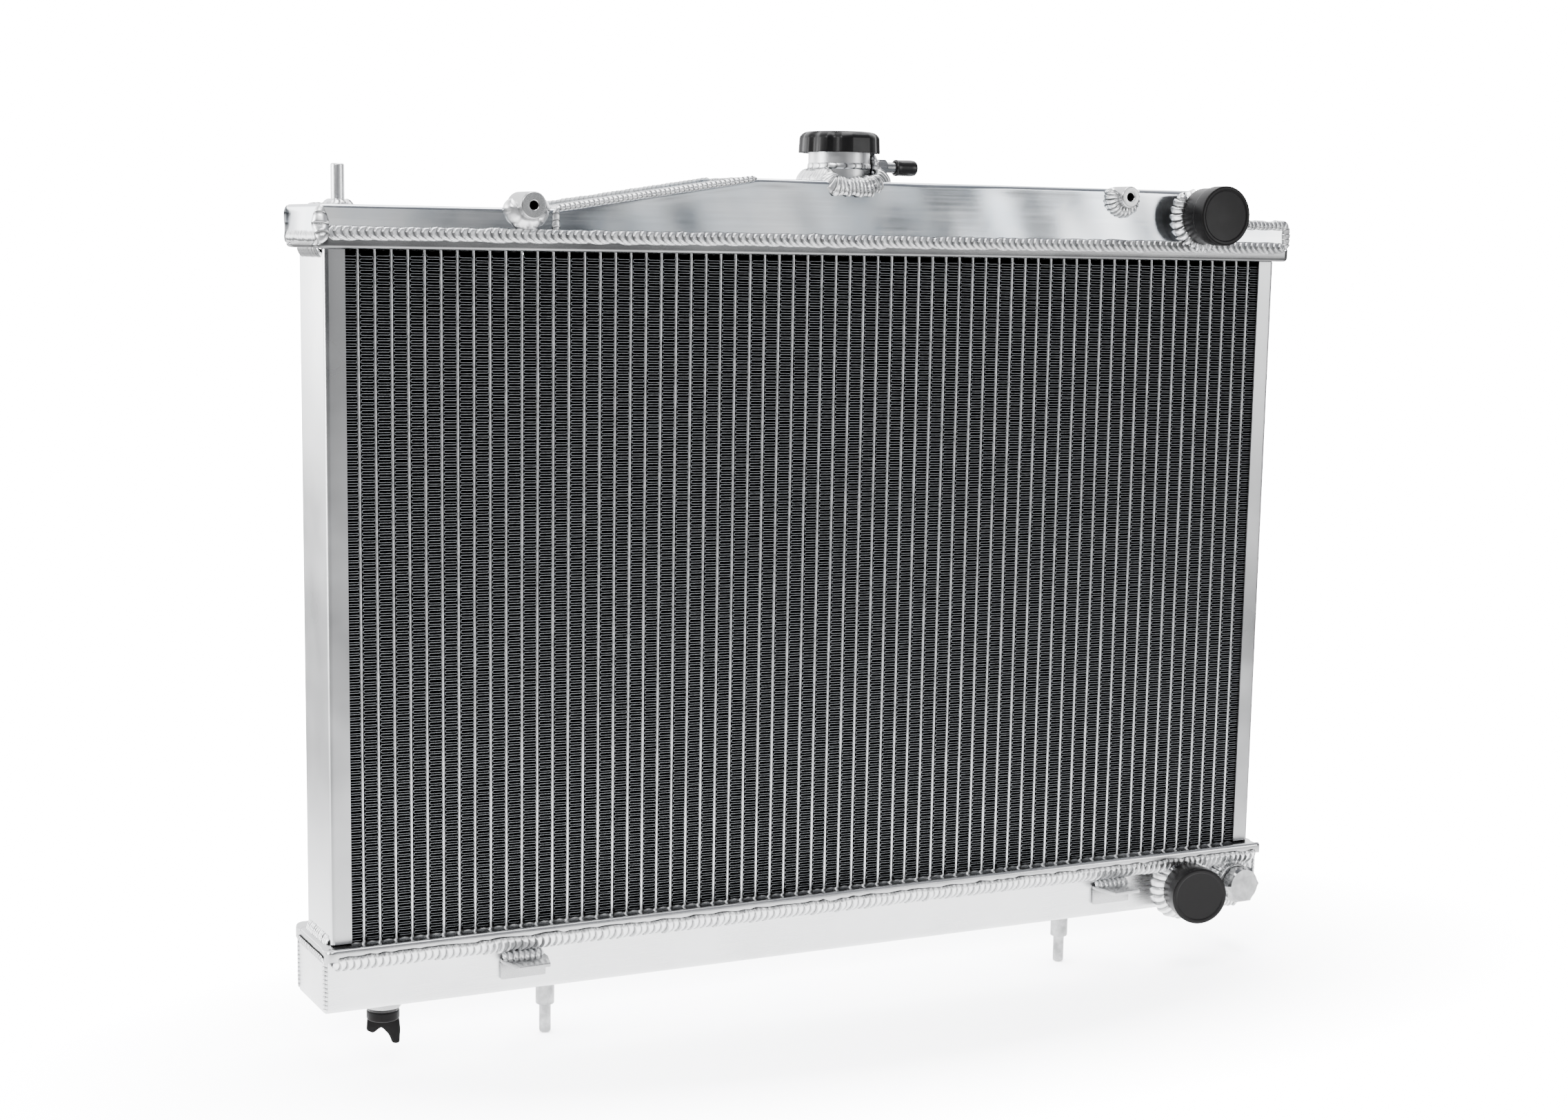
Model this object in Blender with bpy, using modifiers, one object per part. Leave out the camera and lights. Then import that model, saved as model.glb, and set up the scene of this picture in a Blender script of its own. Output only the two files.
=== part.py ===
"""Welded aluminium down-flow car radiator with its pressure cap, drain cock and dust caps.

X runs across the core, -Y is the hose-port side, +Z is up.  The origin is on the underside of
the bottom tank, midway between the two lower locating pins.  Lengths are in metres.
"""

import bmesh
import bpy
import math
from mathutils import Matrix, Vector

GAP = 0.0003                 # clearance between pieces that touch

# Core
TUBE_COUNT = 64
TUBE_PITCH = 0.010
TUBE_WIDTH = 0.002
TUBE_DEPTH = 0.0225
TUBE_WALL = 0.0004
CORE_DEPTH = 0.048
CORE_BOTTOM = 0.041
CORE_TOP = 0.449
FIN_WEB = 0.0012

# Headers and side plates
SHEET = 0.0017
HEADER_HALF_WIDTH = 0.341
HEADER_HALF_DEPTH = 0.036
HEADER_DROP = 0.007
PLATE_OUTER_X = 0.3355
PLATE_FLANGE = 0.0125
PLATE_SHEET = 0.0012

# Tanks
TANK_SHEET = 0.002
TANK_HALF_WIDTH = 0.3385
BOTTOM_HALF_DEPTH = 0.028
TOP_HALF_DEPTH = 0.034
LOW_TOP = 0.474
RAISED_TOP = 0.495
RAMP_START_X = -0.198
RAMP_END_X = -0.066
RAISED_END_X = 0.296

# Filler neck and cap, on one vertical axis
NECK_X = 0.006
NECK_Y = -0.004
NECK_RADIUS = 0.0195
NECK_BORE = 0.0175
NECK_TOP = 0.5175
FLANGE_RADIUS = 0.0224
SEAT_BORE = 0.013
SEAT_TOP = 0.502
CAP_RADIUS = 0.0258
CAP_BOTTOM = 0.5127
CAP_TOP = 0.5262
CAP_LOBES = 9
CAP_FLUTE = 0.0016
CAP_WELL_RADIUS = 0.0237
CAP_WELL_TOP = 0.5214
RIVET_RADIUS = 0.0054
RIVET_TOP = 0.5227
EAR_CUP_RADIUS = 0.0234
EAR_CUP_TOP = 0.5211
EAR_CUP_SHEET = 0.0012
EAR_HALF_WIDTH = 0.0045
STEM_RADIUS = 0.0031
DISC_TOP = 0.5196
GASKET_TOP = 0.5188
BELL_RADIUS = 0.0136
BELL_TOP = 0.5175
BELL_LOW = 0.5093
VALVE_RADIUS = 0.0158
VALVE_TOP = 0.5053
VALVE_SEAL_LOW = 0.5023
VACUUM_STEM_TOP = 0.5092
VACUUM_DISC_TOP = 0.5020

# Overflow fitting, along +X from the neck
OVERFLOW_Z = 0.5048

# Hose ports
PORT_RADIUS = 0.016
PORT_BORE = 0.0135
PORT_LENGTH = 0.0262
PORT_BEAD = 0.001
UPPER_PORT_X = 0.266
UPPER_PORT_Z = 0.4785
LOWER_PORT_X = 0.2775
LOWER_PORT_Z = 0.0146
LOWER_PORT_SWING = math.radians(15)

# Fastening pieces
PIN_X = 0.192
PIN_Y = -0.004
ROD_X = -0.3205
BRACKET_X = 0.2165
LEFT_BOSS = (-0.216, 0.4755)
RIGHT_BOSS = (0.202, 0.4895)
DRAIN_X = -0.2975
PLUG_X = 0.3183
PLUG_Z = 0.0142

ROUND_STEPS = 28
SMALL_STEPS = 20

MATERIALS = {
    "sheet": ((0.80, 0.81, 0.82), 1.0, 0.32),
    "polished": ((0.86, 0.87, 0.88), 1.0, 0.18),
    "machined": ((0.78, 0.79, 0.80), 1.0, 0.28),
    "brazed": ((0.62, 0.63, 0.64), 1.0, 0.45),
    "fins": ((0.16, 0.16, 0.17), 0.8, 0.55),
    "steel": ((0.55, 0.55, 0.56), 1.0, 0.35),
    "brass": ((0.72, 0.55, 0.27), 1.0, 0.3),
    "rubber": ((0.03, 0.03, 0.032), 0.0, 0.7),
    "vinyl": ((0.025, 0.024, 0.026), 0.0, 0.45),
    "anodised": ((0.02, 0.02, 0.022), 0.4, 0.25),
    "nylon": ((0.02, 0.02, 0.02), 0.0, 0.4),
}


def clear_scene():
    for item in list(bpy.data.objects):
        bpy.data.objects.remove(item, do_unlink=True)


def make_collection(name):
    group = bpy.data.collections.new(name)
    bpy.context.scene.collection.children.link(group)
    return group


clear_scene()
PARTS = make_collection("car_radiator")
TOOLS = make_collection("cutters")


def material(kind, name):
    color, metallic, roughness = MATERIALS[kind]
    made = bpy.data.materials.new(name)
    made.use_nodes = True
    shader = made.node_tree.nodes["Principled BSDF"]
    shader.inputs["Base Color"].default_value = (*color, 1.0)
    shader.inputs["Metallic"].default_value = metallic
    shader.inputs["Roughness"].default_value = roughness
    return made


def publish(name, data, kind):
    """Put a mesh or curve in the object's collection under its node name."""
    item = bpy.data.objects.new(name, data)
    PARTS.objects.link(item)
    data.materials.append(material(kind, name))
    return item


def tool(name, data):
    """Put a shape that only cuts or joins in the cutters' collection."""
    item = bpy.data.objects.new(name, data)
    TOOLS.objects.link(item)
    item.hide_render = True
    item.display_type = "WIRE"
    return item


def add_boolean(item, other, operation):
    step = item.modifiers.new(operation.lower(), "BOOLEAN")
    step.operation = operation
    step.solver = "EXACT"
    step.object = other


def cut(item, name, data, location=(0, 0, 0)):
    cutter = tool(name, data)
    cutter.location = location
    add_boolean(item, cutter, "DIFFERENCE")


def join(item, name, data, location=(0, 0, 0)):
    added = tool(name, data)
    added.location = location
    add_boolean(item, added, "UNION")
    return added


def mesh_from(bm, name):
    data = bpy.data.meshes.new(name)
    bm.to_mesh(data)
    bm.free()
    return data


def add_box(bm, low, high):
    size = [b - a for a, b in zip(low, high)]
    middle = [(a + b) / 2 for a, b in zip(low, high)]
    matrix = Matrix.Translation(middle) @ Matrix.Diagonal((*size, 1.0))
    return bmesh.ops.create_cube(bm, size=1.0, matrix=matrix)["verts"]


def boxes(spans):
    """A mesh of separate boxes, each given by its low and high corners."""
    bm = bmesh.new()
    for low, high in spans:
        add_box(bm, low, high)
    return mesh_from(bm, "boxes")


def rounded_box(low, high, axis, radius, keep):
    """A box whose edges along one axis are rounded, where keep() of the edge's middle is true."""
    bm = bmesh.new()
    add_box(bm, low, high)
    index = "XYZ".index(axis)
    chosen = []
    for edge in bm.edges:
        start, end = (v.co for v in edge.verts)
        if abs((end - start)[index]) > 1e-6 and keep((start + end) / 2):
            chosen.append(edge)
    bmesh.ops.bevel(bm, geom=chosen, offset=radius, segments=3, profile=0.5, affect="EDGES")
    return mesh_from(bm, "rounded_box")


def cylinder(radius, start, end, steps=SMALL_STEPS, sides_flat=False):
    """A cylinder or prism between two points; sides_flat turns a hexagon's flat to +Z."""
    start, end = Vector(start), Vector(end)
    along = end - start
    turn = along.to_track_quat("Z", "Y").to_matrix().to_4x4()
    if sides_flat:
        turn = turn @ Matrix.Rotation(math.pi / steps, 4, "Z")
    bm = bmesh.new()
    bmesh.ops.create_cone(bm, cap_ends=True, segments=steps, radius1=radius, radius2=radius,
                          depth=along.length, matrix=Matrix.Translation((start + end) / 2) @ turn)
    return mesh_from(bm, "cylinder")


def turned(name, profile, kind, location=(0, 0, 0), steps=ROUND_STEPS, closed=True):
    """A profile of (radius, height) points, listed down its outer side, turned about +Z."""
    bm = bmesh.new()
    points = [bm.verts.new((radius, 0.0, height)) for radius, height in profile]
    for first, second in zip(points, points[1:]):
        bm.edges.new((first, second))
    if closed:
        bm.edges.new((points[-1], points[0]))
    item = publish(name, mesh_from(bm, name), kind)
    item.location = location
    screw = item.modifiers.new("turn", "SCREW")
    screw.axis = "Z"
    screw.steps = steps
    screw.render_steps = steps
    screw.use_merge_vertices = True
    screw.merge_threshold = 0.00001
    screw.use_smooth_shade = False
    return item


def outline_mesh(points, height):
    """A flat outline in XY, extruded evenly to both sides of Z = 0, as a mesh."""
    curve = bpy.data.curves.new("outline", "CURVE")
    curve.dimensions = "2D"
    curve.fill_mode = "BOTH"
    curve.extrude = height / 2
    spline = curve.splines.new("POLY")
    spline.points.add(len(points) - 1)
    for place, (x, y) in zip(spline.points, points):
        place.co = (x, y, 0.0, 1.0)
    spline.use_cyclic_u = True
    holder = bpy.data.objects.new("outline", curve)
    bpy.context.scene.collection.objects.link(holder)
    seen = holder.evaluated_get(bpy.context.evaluated_depsgraph_get())
    data = bpy.data.meshes.new_from_object(seen)
    bpy.data.objects.remove(holder, do_unlink=True)
    bm = bmesh.new()
    bm.from_mesh(data)
    bmesh.ops.remove_doubles(bm, verts=bm.verts, dist=0.00001)
    bmesh.ops.recalc_face_normals(bm, faces=bm.faces)
    bm.to_mesh(data)
    bm.free()
    return data


def side_outline(points, half_depth):
    """An outline in XZ, extruded to +-half_depth along Y."""
    data = outline_mesh(points, 2 * half_depth)
    data.transform(Matrix.Rotation(math.pi / 2, 4, "X"))
    return data


# ---------------------------------------------------------------- core

def tube_x(index):
    return (index - (TUBE_COUNT - 1) / 2) * TUBE_PITCH


def row_span(row):
    """Front and rear Y of the front (0) or rear (1) row of tubes."""
    if row == 0:
        return -CORE_DEPTH / 2, -CORE_DEPTH / 2 + TUBE_DEPTH
    return CORE_DEPTH / 2 - TUBE_DEPTH, CORE_DEPTH / 2


def strip_half_width():
    return tube_x(TUBE_COUNT - 1) + TUBE_PITCH / 2


def make_tube_bank(name, row):
    """One row of flat tubes, brazed into the slotted floor strips at both headers."""
    front, rear = row_span(row)
    low, high = CORE_BOTTOM - SHEET, CORE_TOP + SHEET
    half = TUBE_WIDTH / 2
    inner = half - TUBE_WALL
    tubes = []
    bores = []
    for index in range(TUBE_COUNT):
        x = tube_x(index)
        tubes.append(((x - half, front, low), (x + half, rear, high)))
        bores.append(((x - inner, front + TUBE_WALL, low - 0.001),
                      (x + inner, rear - TUBE_WALL, high + 0.001)))
    reach = tube_x(TUBE_COUNT - 1) + half
    strips = [((-reach, front, bottom), (reach, rear, bottom + SHEET))
              for bottom in (low, CORE_TOP)]
    bank = publish(name, boxes(tubes), "brazed")
    join(bank, name + "_floor_strips", boxes(strips))
    cut(bank, name + "_bores", boxes(bores))


def make_fin_bank():
    """The 65 fin columns, joined by the thin web between the two rows of tubes."""
    half = (TUBE_PITCH - TUBE_WIDTH) / 2 - GAP
    low, high = CORE_BOTTOM + GAP, CORE_TOP - GAP
    columns = []
    for index in range(TUBE_COUNT + 1):
        x = tube_x(index) - TUBE_PITCH / 2
        columns.append(((x - half, -CORE_DEPTH / 2, low), (x + half, CORE_DEPTH / 2, high)))
    fins = publish("fin_bank", boxes(columns), "fins")
    reach = strip_half_width() - TUBE_WIDTH
    web = boxes([((-reach, -FIN_WEB / 2, low + 0.001), (reach, FIN_WEB / 2, high - 0.001))])
    join(fins, "fin_web", web)


def make_header(name, floor_low, walls_low, walls_high, outward):
    """A pressed header pan: rounded long edges, its floor open for the two tube rows."""
    low = (-HEADER_HALF_WIDTH, -HEADER_HALF_DEPTH, walls_low)
    high = (HEADER_HALF_WIDTH, HEADER_HALF_DEPTH, walls_high)
    floor_side = walls_low if outward > 0 else walls_high
    core_side = lambda middle: abs(middle.z - floor_side) < 1e-6
    pan = publish(name, rounded_box(low, high, "X", 0.0030, core_side), "polished")
    inset_x = HEADER_HALF_WIDTH - SHEET
    inset_y = HEADER_HALF_DEPTH - SHEET
    hollow_low = floor_low + SHEET if outward > 0 else walls_low - 0.002
    hollow_high = walls_high + 0.002 if outward > 0 else floor_low
    hollow = boxes([((-inset_x, -inset_y, hollow_low), (inset_x, inset_y, hollow_high))])
    cut(pan, name + "_hollow", hollow)
    windows = []
    reach = tube_x(TUBE_COUNT - 1) + TUBE_WIDTH / 2 + GAP
    for row in (0, 1):
        front, rear = row_span(row)
        windows.append(((-reach, front - GAP, floor_low - 0.004),
                        (reach, rear + GAP, floor_low + SHEET + 0.004)))
    cut(pan, name + "_windows", boxes(windows))


def make_side_plate(name, side):
    """A folded channel over the last fin column, its flanges lapping the core's faces."""
    outer = PLATE_OUTER_X
    depth = CORE_DEPTH / 2 + GAP + PLATE_SHEET
    ends = sorted((side * outer, side * (outer - PLATE_FLANGE)))
    low = (ends[0], -depth, CORE_BOTTOM + GAP)
    high = (ends[1], depth, CORE_TOP - GAP)
    outside = lambda middle: abs(abs(middle.x) - outer) < 1e-6
    plate = publish(name, rounded_box(low, high, "Z", 0.0025, outside), "sheet")
    inner = sorted((side * (outer - PLATE_SHEET), side * (outer - PLATE_FLANGE - 0.002)))
    hollow = boxes([((inner[0], -depth + PLATE_SHEET, CORE_BOTTOM - 0.002),
                     (inner[1], depth - PLATE_SHEET, CORE_TOP + 0.002))])
    cut(plate, name + "_hollow", hollow)


# ---------------------------------------------------------------- top tank

TOP_FLOOR = CORE_TOP + SHEET + GAP       # where the top tank's walls start, inside the header


def top_span(start, end, top):
    return (start, -TOP_HALF_DEPTH, TOP_FLOOR), (end, TOP_HALF_DEPTH, top)


def make_low_section(name, start, end):
    """A folded channel, open below and at both ends."""
    low, high = top_span(start, end, LOW_TOP)
    upper = lambda middle: abs(middle.z - LOW_TOP) < 1e-6
    section = publish(name, rounded_box(low, high, "X", 0.0025, upper), "polished")
    inner = TOP_HALF_DEPTH - TANK_SHEET
    hollow = boxes([((start - 0.002, -inner, TOP_FLOOR - 0.002),
                     (end + 0.002, inner, LOW_TOP - TANK_SHEET))])
    cut(section, name + "_hollow", hollow)


def make_raised_section():
    """The tall middle of the tank, whose left end ramps down to the low section."""
    name = "top_tank_raised_section"
    low, high = top_span(RAMP_START_X, RAISED_END_X, RAISED_TOP)
    upper = lambda middle: abs(middle.z - RAISED_TOP) < 1e-6
    section = publish(name, rounded_box(low, high, "X", 0.0030, upper), "polished")
    inner = TOP_HALF_DEPTH - TANK_SHEET
    hollow = boxes([((RAMP_START_X - 0.002, -inner, TOP_FLOOR - 0.002),
                     (RAISED_END_X + 0.002, inner, RAISED_TOP - TANK_SHEET))])
    cut(section, name + "_hollow", hollow)
    drop = TANK_SHEET + GAP
    above = RAISED_TOP + 0.01
    ramp = [(RAMP_START_X - 0.01, LOW_TOP - drop), (RAMP_START_X, LOW_TOP - drop),
            (RAMP_END_X, RAISED_TOP - drop), (RAMP_END_X, above), (RAMP_START_X - 0.01, above)]
    cut(section, name + "_ramp", side_outline(ramp, TOP_HALF_DEPTH + 0.01))
    neck_hole = cylinder(NECK_BORE - 0.001, (NECK_X, NECK_Y, RAISED_TOP - 0.006),
                         (NECK_X, NECK_Y, RAISED_TOP + 0.006), ROUND_STEPS)
    cut(section, name + "_neck_hole", neck_hole)
    port_hole = cylinder(PORT_BORE, (UPPER_PORT_X, -TOP_HALF_DEPTH - 0.005, UPPER_PORT_Z),
                         (UPPER_PORT_X, -TOP_HALF_DEPTH + 0.005, UPPER_PORT_Z), SMALL_STEPS)
    cut(section, name + "_port_hole", port_hole)


def make_ramp_plate():
    """The flat plate welded along the ramp, between the low and the raised tops."""
    start, end = RAMP_START_X + GAP, RAMP_END_X - GAP
    slope = [(start, LOW_TOP), (start, LOW_TOP - TANK_SHEET), (end, RAISED_TOP - TANK_SHEET),
             (end, RAISED_TOP)]
    publish("top_tank_ramp_plate", side_outline(slope, TOP_HALF_DEPTH - 0.0005), "polished")


def make_step_plate():
    """The upright plate that closes the raised section above the right low section."""
    x = RAISED_END_X + GAP
    plate = boxes([((x, -TOP_HALF_DEPTH, LOW_TOP + GAP),
                    (x + TANK_SHEET, TOP_HALF_DEPTH, RAISED_TOP - 0.0005))])
    publish("top_tank_step_plate", plate, "polished")


def make_top_end(name, side):
    near = TANK_HALF_WIDTH + GAP
    ends = sorted((side * near, side * (near + TANK_SHEET)))
    low = (ends[0], -TOP_HALF_DEPTH, CORE_TOP + HEADER_DROP + SHEET + GAP)
    high = (ends[1], TOP_HALF_DEPTH, LOW_TOP)
    upper = lambda middle: abs(middle.z - LOW_TOP) < 1e-6
    publish(name, rounded_box(low, high, "X", 0.0025, upper), "sheet")


# ---------------------------------------------------------------- bottom tank

BOTTOM_RIM = CORE_BOTTOM - SHEET - GAP


def make_bottom_tank():
    """A folded channel, open above, with the drain, lower port and plug holes."""
    low = (-TANK_HALF_WIDTH, -BOTTOM_HALF_DEPTH, 0.0)
    high = (TANK_HALF_WIDTH, BOTTOM_HALF_DEPTH, BOTTOM_RIM)
    under = lambda middle: abs(middle.z) < 1e-6
    tank = publish("bottom_tank_channel", rounded_box(low, high, "X", 0.0025, under), "sheet")
    inner = BOTTOM_HALF_DEPTH - TANK_SHEET
    hollow = boxes([((-TANK_HALF_WIDTH - 0.002, -inner, TANK_SHEET),
                     (TANK_HALF_WIDTH + 0.002, inner, BOTTOM_RIM + 0.002))])
    cut(tank, "bottom_tank_hollow", hollow)
    front = -BOTTOM_HALF_DEPTH
    port_hole = cylinder(0.0115, (LOWER_PORT_X, front - 0.005, LOWER_PORT_Z),
                         (LOWER_PORT_X, front + 0.005, LOWER_PORT_Z))
    cut(tank, "bottom_tank_port_hole", port_hole)
    plug_hole = cylinder(0.0072, (PLUG_X, front - 0.005, PLUG_Z), (PLUG_X, front + 0.005, PLUG_Z))
    cut(tank, "bottom_tank_plug_hole", plug_hole)
    drain_hole = cylinder(0.0072, (DRAIN_X, PIN_Y, -0.005), (DRAIN_X, PIN_Y, 0.005))
    cut(tank, "bottom_tank_drain_hole", drain_hole)


def make_bottom_end(name, side):
    near = TANK_HALF_WIDTH + GAP
    ends = sorted((side * near, side * (near + TANK_SHEET)))
    high_z = CORE_BOTTOM - HEADER_DROP - SHEET - GAP
    low = (ends[0], -BOTTOM_HALF_DEPTH, 0.0)
    high = (ends[1], BOTTOM_HALF_DEPTH, high_z)
    under = lambda middle: abs(middle.z) < 1e-6
    publish(name, rounded_box(low, high, "X", 0.0025, under), "sheet")


# ---------------------------------------------------------------- filler neck and overflow

def make_filler_neck():
    """A turned neck: valve seat inside, notched cam flange outside at its top."""
    seat_low = SEAT_TOP - 0.002
    base = RAISED_TOP + GAP
    flange_low = NECK_TOP - 0.002
    profile = [(FLANGE_RADIUS, NECK_TOP), (FLANGE_RADIUS, flange_low), (NECK_RADIUS, flange_low),
               (NECK_RADIUS, base), (NECK_BORE, base), (NECK_BORE, seat_low),
               (SEAT_BORE, seat_low), (SEAT_BORE, SEAT_TOP), (NECK_BORE, SEAT_TOP),
               (NECK_BORE, NECK_TOP)]
    neck = turned("filler_neck", profile, "machined", (NECK_X, NECK_Y, 0))
    half = 0.0072
    notches = []
    for side in (-1, 1):
        span = sorted((side * (NECK_RADIUS + GAP), side * (FLANGE_RADIUS + 0.002)))
        notches.append(((NECK_X + span[0], NECK_Y - half, flange_low - 0.001),
                        (NECK_X + span[1], NECK_Y + half, NECK_TOP + 0.001)))
    cut(neck, "neck_notches", boxes(notches))
    hole = cylinder(0.0024, (NECK_X + 0.010, NECK_Y, OVERFLOW_Z + GAP),
                    (NECK_X + 0.024, NECK_Y, OVERFLOW_Z + GAP), 12)
    cut(neck, "neck_overflow_hole", hole)


def along_x(start, end):
    return (NECK_X + start, NECK_Y, OVERFLOW_Z), (NECK_X + end, NECK_Y, OVERFLOW_Z)


def make_overflow():
    """A boss on the neck, a hexagon fitting screwed into it and the rubber cap on its spout."""
    boss = publish("overflow_boss", cylinder(0.0060, *along_x(0.0175, 0.0262)), "machined")
    neck_room = cylinder(NECK_RADIUS + GAP, (NECK_X, NECK_Y, OVERFLOW_Z - 0.02),
                         (NECK_X, NECK_Y, OVERFLOW_Z + 0.02), ROUND_STEPS)
    cut(boss, "overflow_boss_saddle", neck_room)
    cut(boss, "overflow_boss_bore", cylinder(0.0034, *along_x(0.010, 0.030)))
    hexagon = cylinder(0.0049 / math.cos(math.pi / 6), *along_x(0.0265, 0.0330), 6,
                       sides_flat=True)
    fitting = publish("overflow_fitting", hexagon, "machined")
    join(fitting, "overflow_spout", cylinder(0.0034, *along_x(0.0320, 0.0520)))
    join(fitting, "overflow_shank", cylinder(0.0030, *along_x(0.0210, 0.0270)))
    cut(fitting, "overflow_bore", cylinder(0.0020, *along_x(0.0150, 0.0600), 12))
    profile = [(0, 0.0560), (0.0036, 0.0556), (0.0050, 0.0545), (0.0054, 0.0530),
               (0.0054, 0.0400), (0.0037, 0.0400), (0.0037, 0.0535), (0, 0.0535)]
    cap = turned("overflow_dust_cap", profile, "rubber", (NECK_X, NECK_Y, OVERFLOW_Z),
                 SMALL_STEPS, closed=False)
    cap.rotation_euler = (0, math.pi / 2, 0)


# ---------------------------------------------------------------- pressure cap

def fluted_outline():
    """The cap's grip seen from above: shallow flutes between broad lobes."""
    points = []
    count = CAP_LOBES * 8
    for index in range(count):
        angle = 2 * math.pi * index / count
        wave = math.cos(CAP_LOBES * angle)
        flute = CAP_FLUTE * max(0.0, -wave) ** 1.5
        radius = CAP_RADIUS - flute
        points.append((radius * math.cos(angle), radius * math.sin(angle)))
    return points


def make_cap_shell():
    middle = (CAP_BOTTOM + CAP_TOP) / 2
    shell = publish("cap_shell", outline_mesh(fluted_outline(), CAP_TOP - CAP_BOTTOM), "anodised")
    shell.location = (NECK_X, NECK_Y, middle)
    well = cylinder(CAP_WELL_RADIUS, (NECK_X, NECK_Y, CAP_BOTTOM - 0.001),
                    (NECK_X, NECK_Y, CAP_WELL_TOP), ROUND_STEPS)
    cut(shell, "cap_shell_well", well)
    rivet_room = cylinder(RIVET_RADIUS + 0.0004, (NECK_X, NECK_Y, CAP_WELL_TOP - 0.0014),
                          (NECK_X, NECK_Y, RIVET_TOP + 0.0002))
    cut(shell, "cap_shell_rivet_room", rivet_room)


def make_ear_plate():
    """The pressed steel cup inside the grip, with two ears that hook under the cam flange."""
    top, under = EAR_CUP_TOP, EAR_CUP_TOP - EAR_CUP_SHEET
    low = CAP_BOTTOM + 0.0004
    outer, inner, bore = EAR_CUP_RADIUS, EAR_CUP_RADIUS - 0.0007, STEM_RADIUS + GAP
    profile = [(outer, top), (outer, low), (inner, low), (inner, under), (bore, under),
               (bore, top)]
    plate = turned("cap_ear_plate", profile, "steel", (NECK_X, NECK_Y, 0))
    ears = []
    for side in (-1, 1):
        span = sorted((side * (NECK_RADIUS + 0.0005), side * (inner + 0.0002)))
        ears.append(((NECK_X + span[0], NECK_Y - EAR_HALF_WIDTH, low),
                     (NECK_X + span[1], NECK_Y + EAR_HALF_WIDTH, low + 0.0014)))
    join(plate, "cap_ears", boxes(ears))


def make_cap_inside():
    """What hangs under the grip: gasket, spring disc, riveted bell, valves and their springs."""
    axis = (NECK_X, NECK_Y, 0)
    gasket_low = GASKET_TOP - 0.0010
    turned("cap_upper_gasket", [(0.0210, GASKET_TOP), (0.0210, gasket_low), (0.0145, gasket_low),
                                (0.0145, GASKET_TOP)], "rubber", axis)
    disc_low = DISC_TOP - 0.0005
    turned("cap_spring_disc", [(0.0212, DISC_TOP), (0.0212, disc_low),
                               (STEM_RADIUS + GAP, disc_low), (STEM_RADIUS + GAP, DISC_TOP)],
           "steel", axis)
    rivet_low = RIVET_TOP - 0.0013
    skirt = BELL_RADIUS - 0.0008
    bell = [(0, RIVET_TOP), (RIVET_RADIUS, RIVET_TOP), (RIVET_RADIUS, rivet_low),
            (STEM_RADIUS, rivet_low), (STEM_RADIUS, BELL_TOP), (BELL_RADIUS, BELL_TOP),
            (BELL_RADIUS, BELL_LOW), (skirt, BELL_LOW), (skirt, BELL_TOP - 0.0010),
            (0, BELL_TOP - 0.0010)]
    turned("cap_valve_bell", bell, "steel", axis, closed=False)
    plate_low = VALVE_TOP - 0.0010
    turned("pressure_valve_plate", [(VALVE_RADIUS, VALVE_TOP), (VALVE_RADIUS, plate_low),
                                    (0.0030, plate_low), (0.0030, VALVE_TOP)], "brass", axis)
    seal_top = plate_low - GAP
    turned("pressure_valve_seal", [(VALVE_RADIUS, seal_top), (VALVE_RADIUS, VALVE_SEAL_LOW),
                                   (0.0050, VALVE_SEAL_LOW), (0.0050, seal_top)], "rubber", axis)
    stem = [(0, VACUUM_STEM_TOP), (0.0030, VACUUM_STEM_TOP), (0.0030, VACUUM_STEM_TOP - 0.0006),
            (0.0012, VACUUM_STEM_TOP - 0.0006), (0.0012, VACUUM_DISC_TOP),
            (0.0075, VACUUM_DISC_TOP), (0.0075, VACUUM_DISC_TOP - 0.0010),
            (0, VACUUM_DISC_TOP - 0.0010)]
    turned("vacuum_valve", stem, "brass", axis, SMALL_STEPS, closed=False)


def coil(name, radius, wire, low, high, turns, kind):
    """A round-wire compression spring about the cap's axis."""
    per_turn = 12
    count = int(turns * per_turn) + 1
    curve = bpy.data.curves.new(name, "CURVE")
    curve.dimensions = "3D"
    curve.bevel_depth = wire
    curve.bevel_resolution = 1
    curve.use_fill_caps = True
    spline = curve.splines.new("POLY")
    spline.points.add(count - 1)
    for index, place in enumerate(spline.points):
        angle = 2 * math.pi * index / per_turn
        height = low + (high - low) * index / (count - 1)
        place.co = (radius * math.cos(angle), radius * math.sin(angle), height, 1.0)
    spring = publish(name, curve, kind)
    spring.location = (NECK_X, NECK_Y, 0)


# ---------------------------------------------------------------- hose ports

def make_port(name, swing):
    """A beaded pipe stub; made along -Y from the origin, then swung about Z."""
    reach = PORT_LENGTH
    bead = PORT_RADIUS + PORT_BEAD
    start = -0.012
    profile = [(PORT_RADIUS, reach), (bead, reach - 0.0015), (bead, reach - 0.0035),
               (PORT_RADIUS, reach - 0.0055), (PORT_RADIUS, start), (PORT_BORE, start),
               (PORT_BORE, reach)]
    pipe = turned(name, profile, "machined")
    pipe.rotation_euler = (math.pi / 2, 0, -swing)
    return pipe


def trim_behind(pipe, plane_y):
    """Cut the stub flat against the tank's front wall."""
    room = boxes([((-0.05, 0.0, -0.05), (0.05, 0.05, 0.05))])
    x, _, z = pipe.location
    cut(pipe, pipe.name + "_trim", room, (x, plane_y, z))


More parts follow.
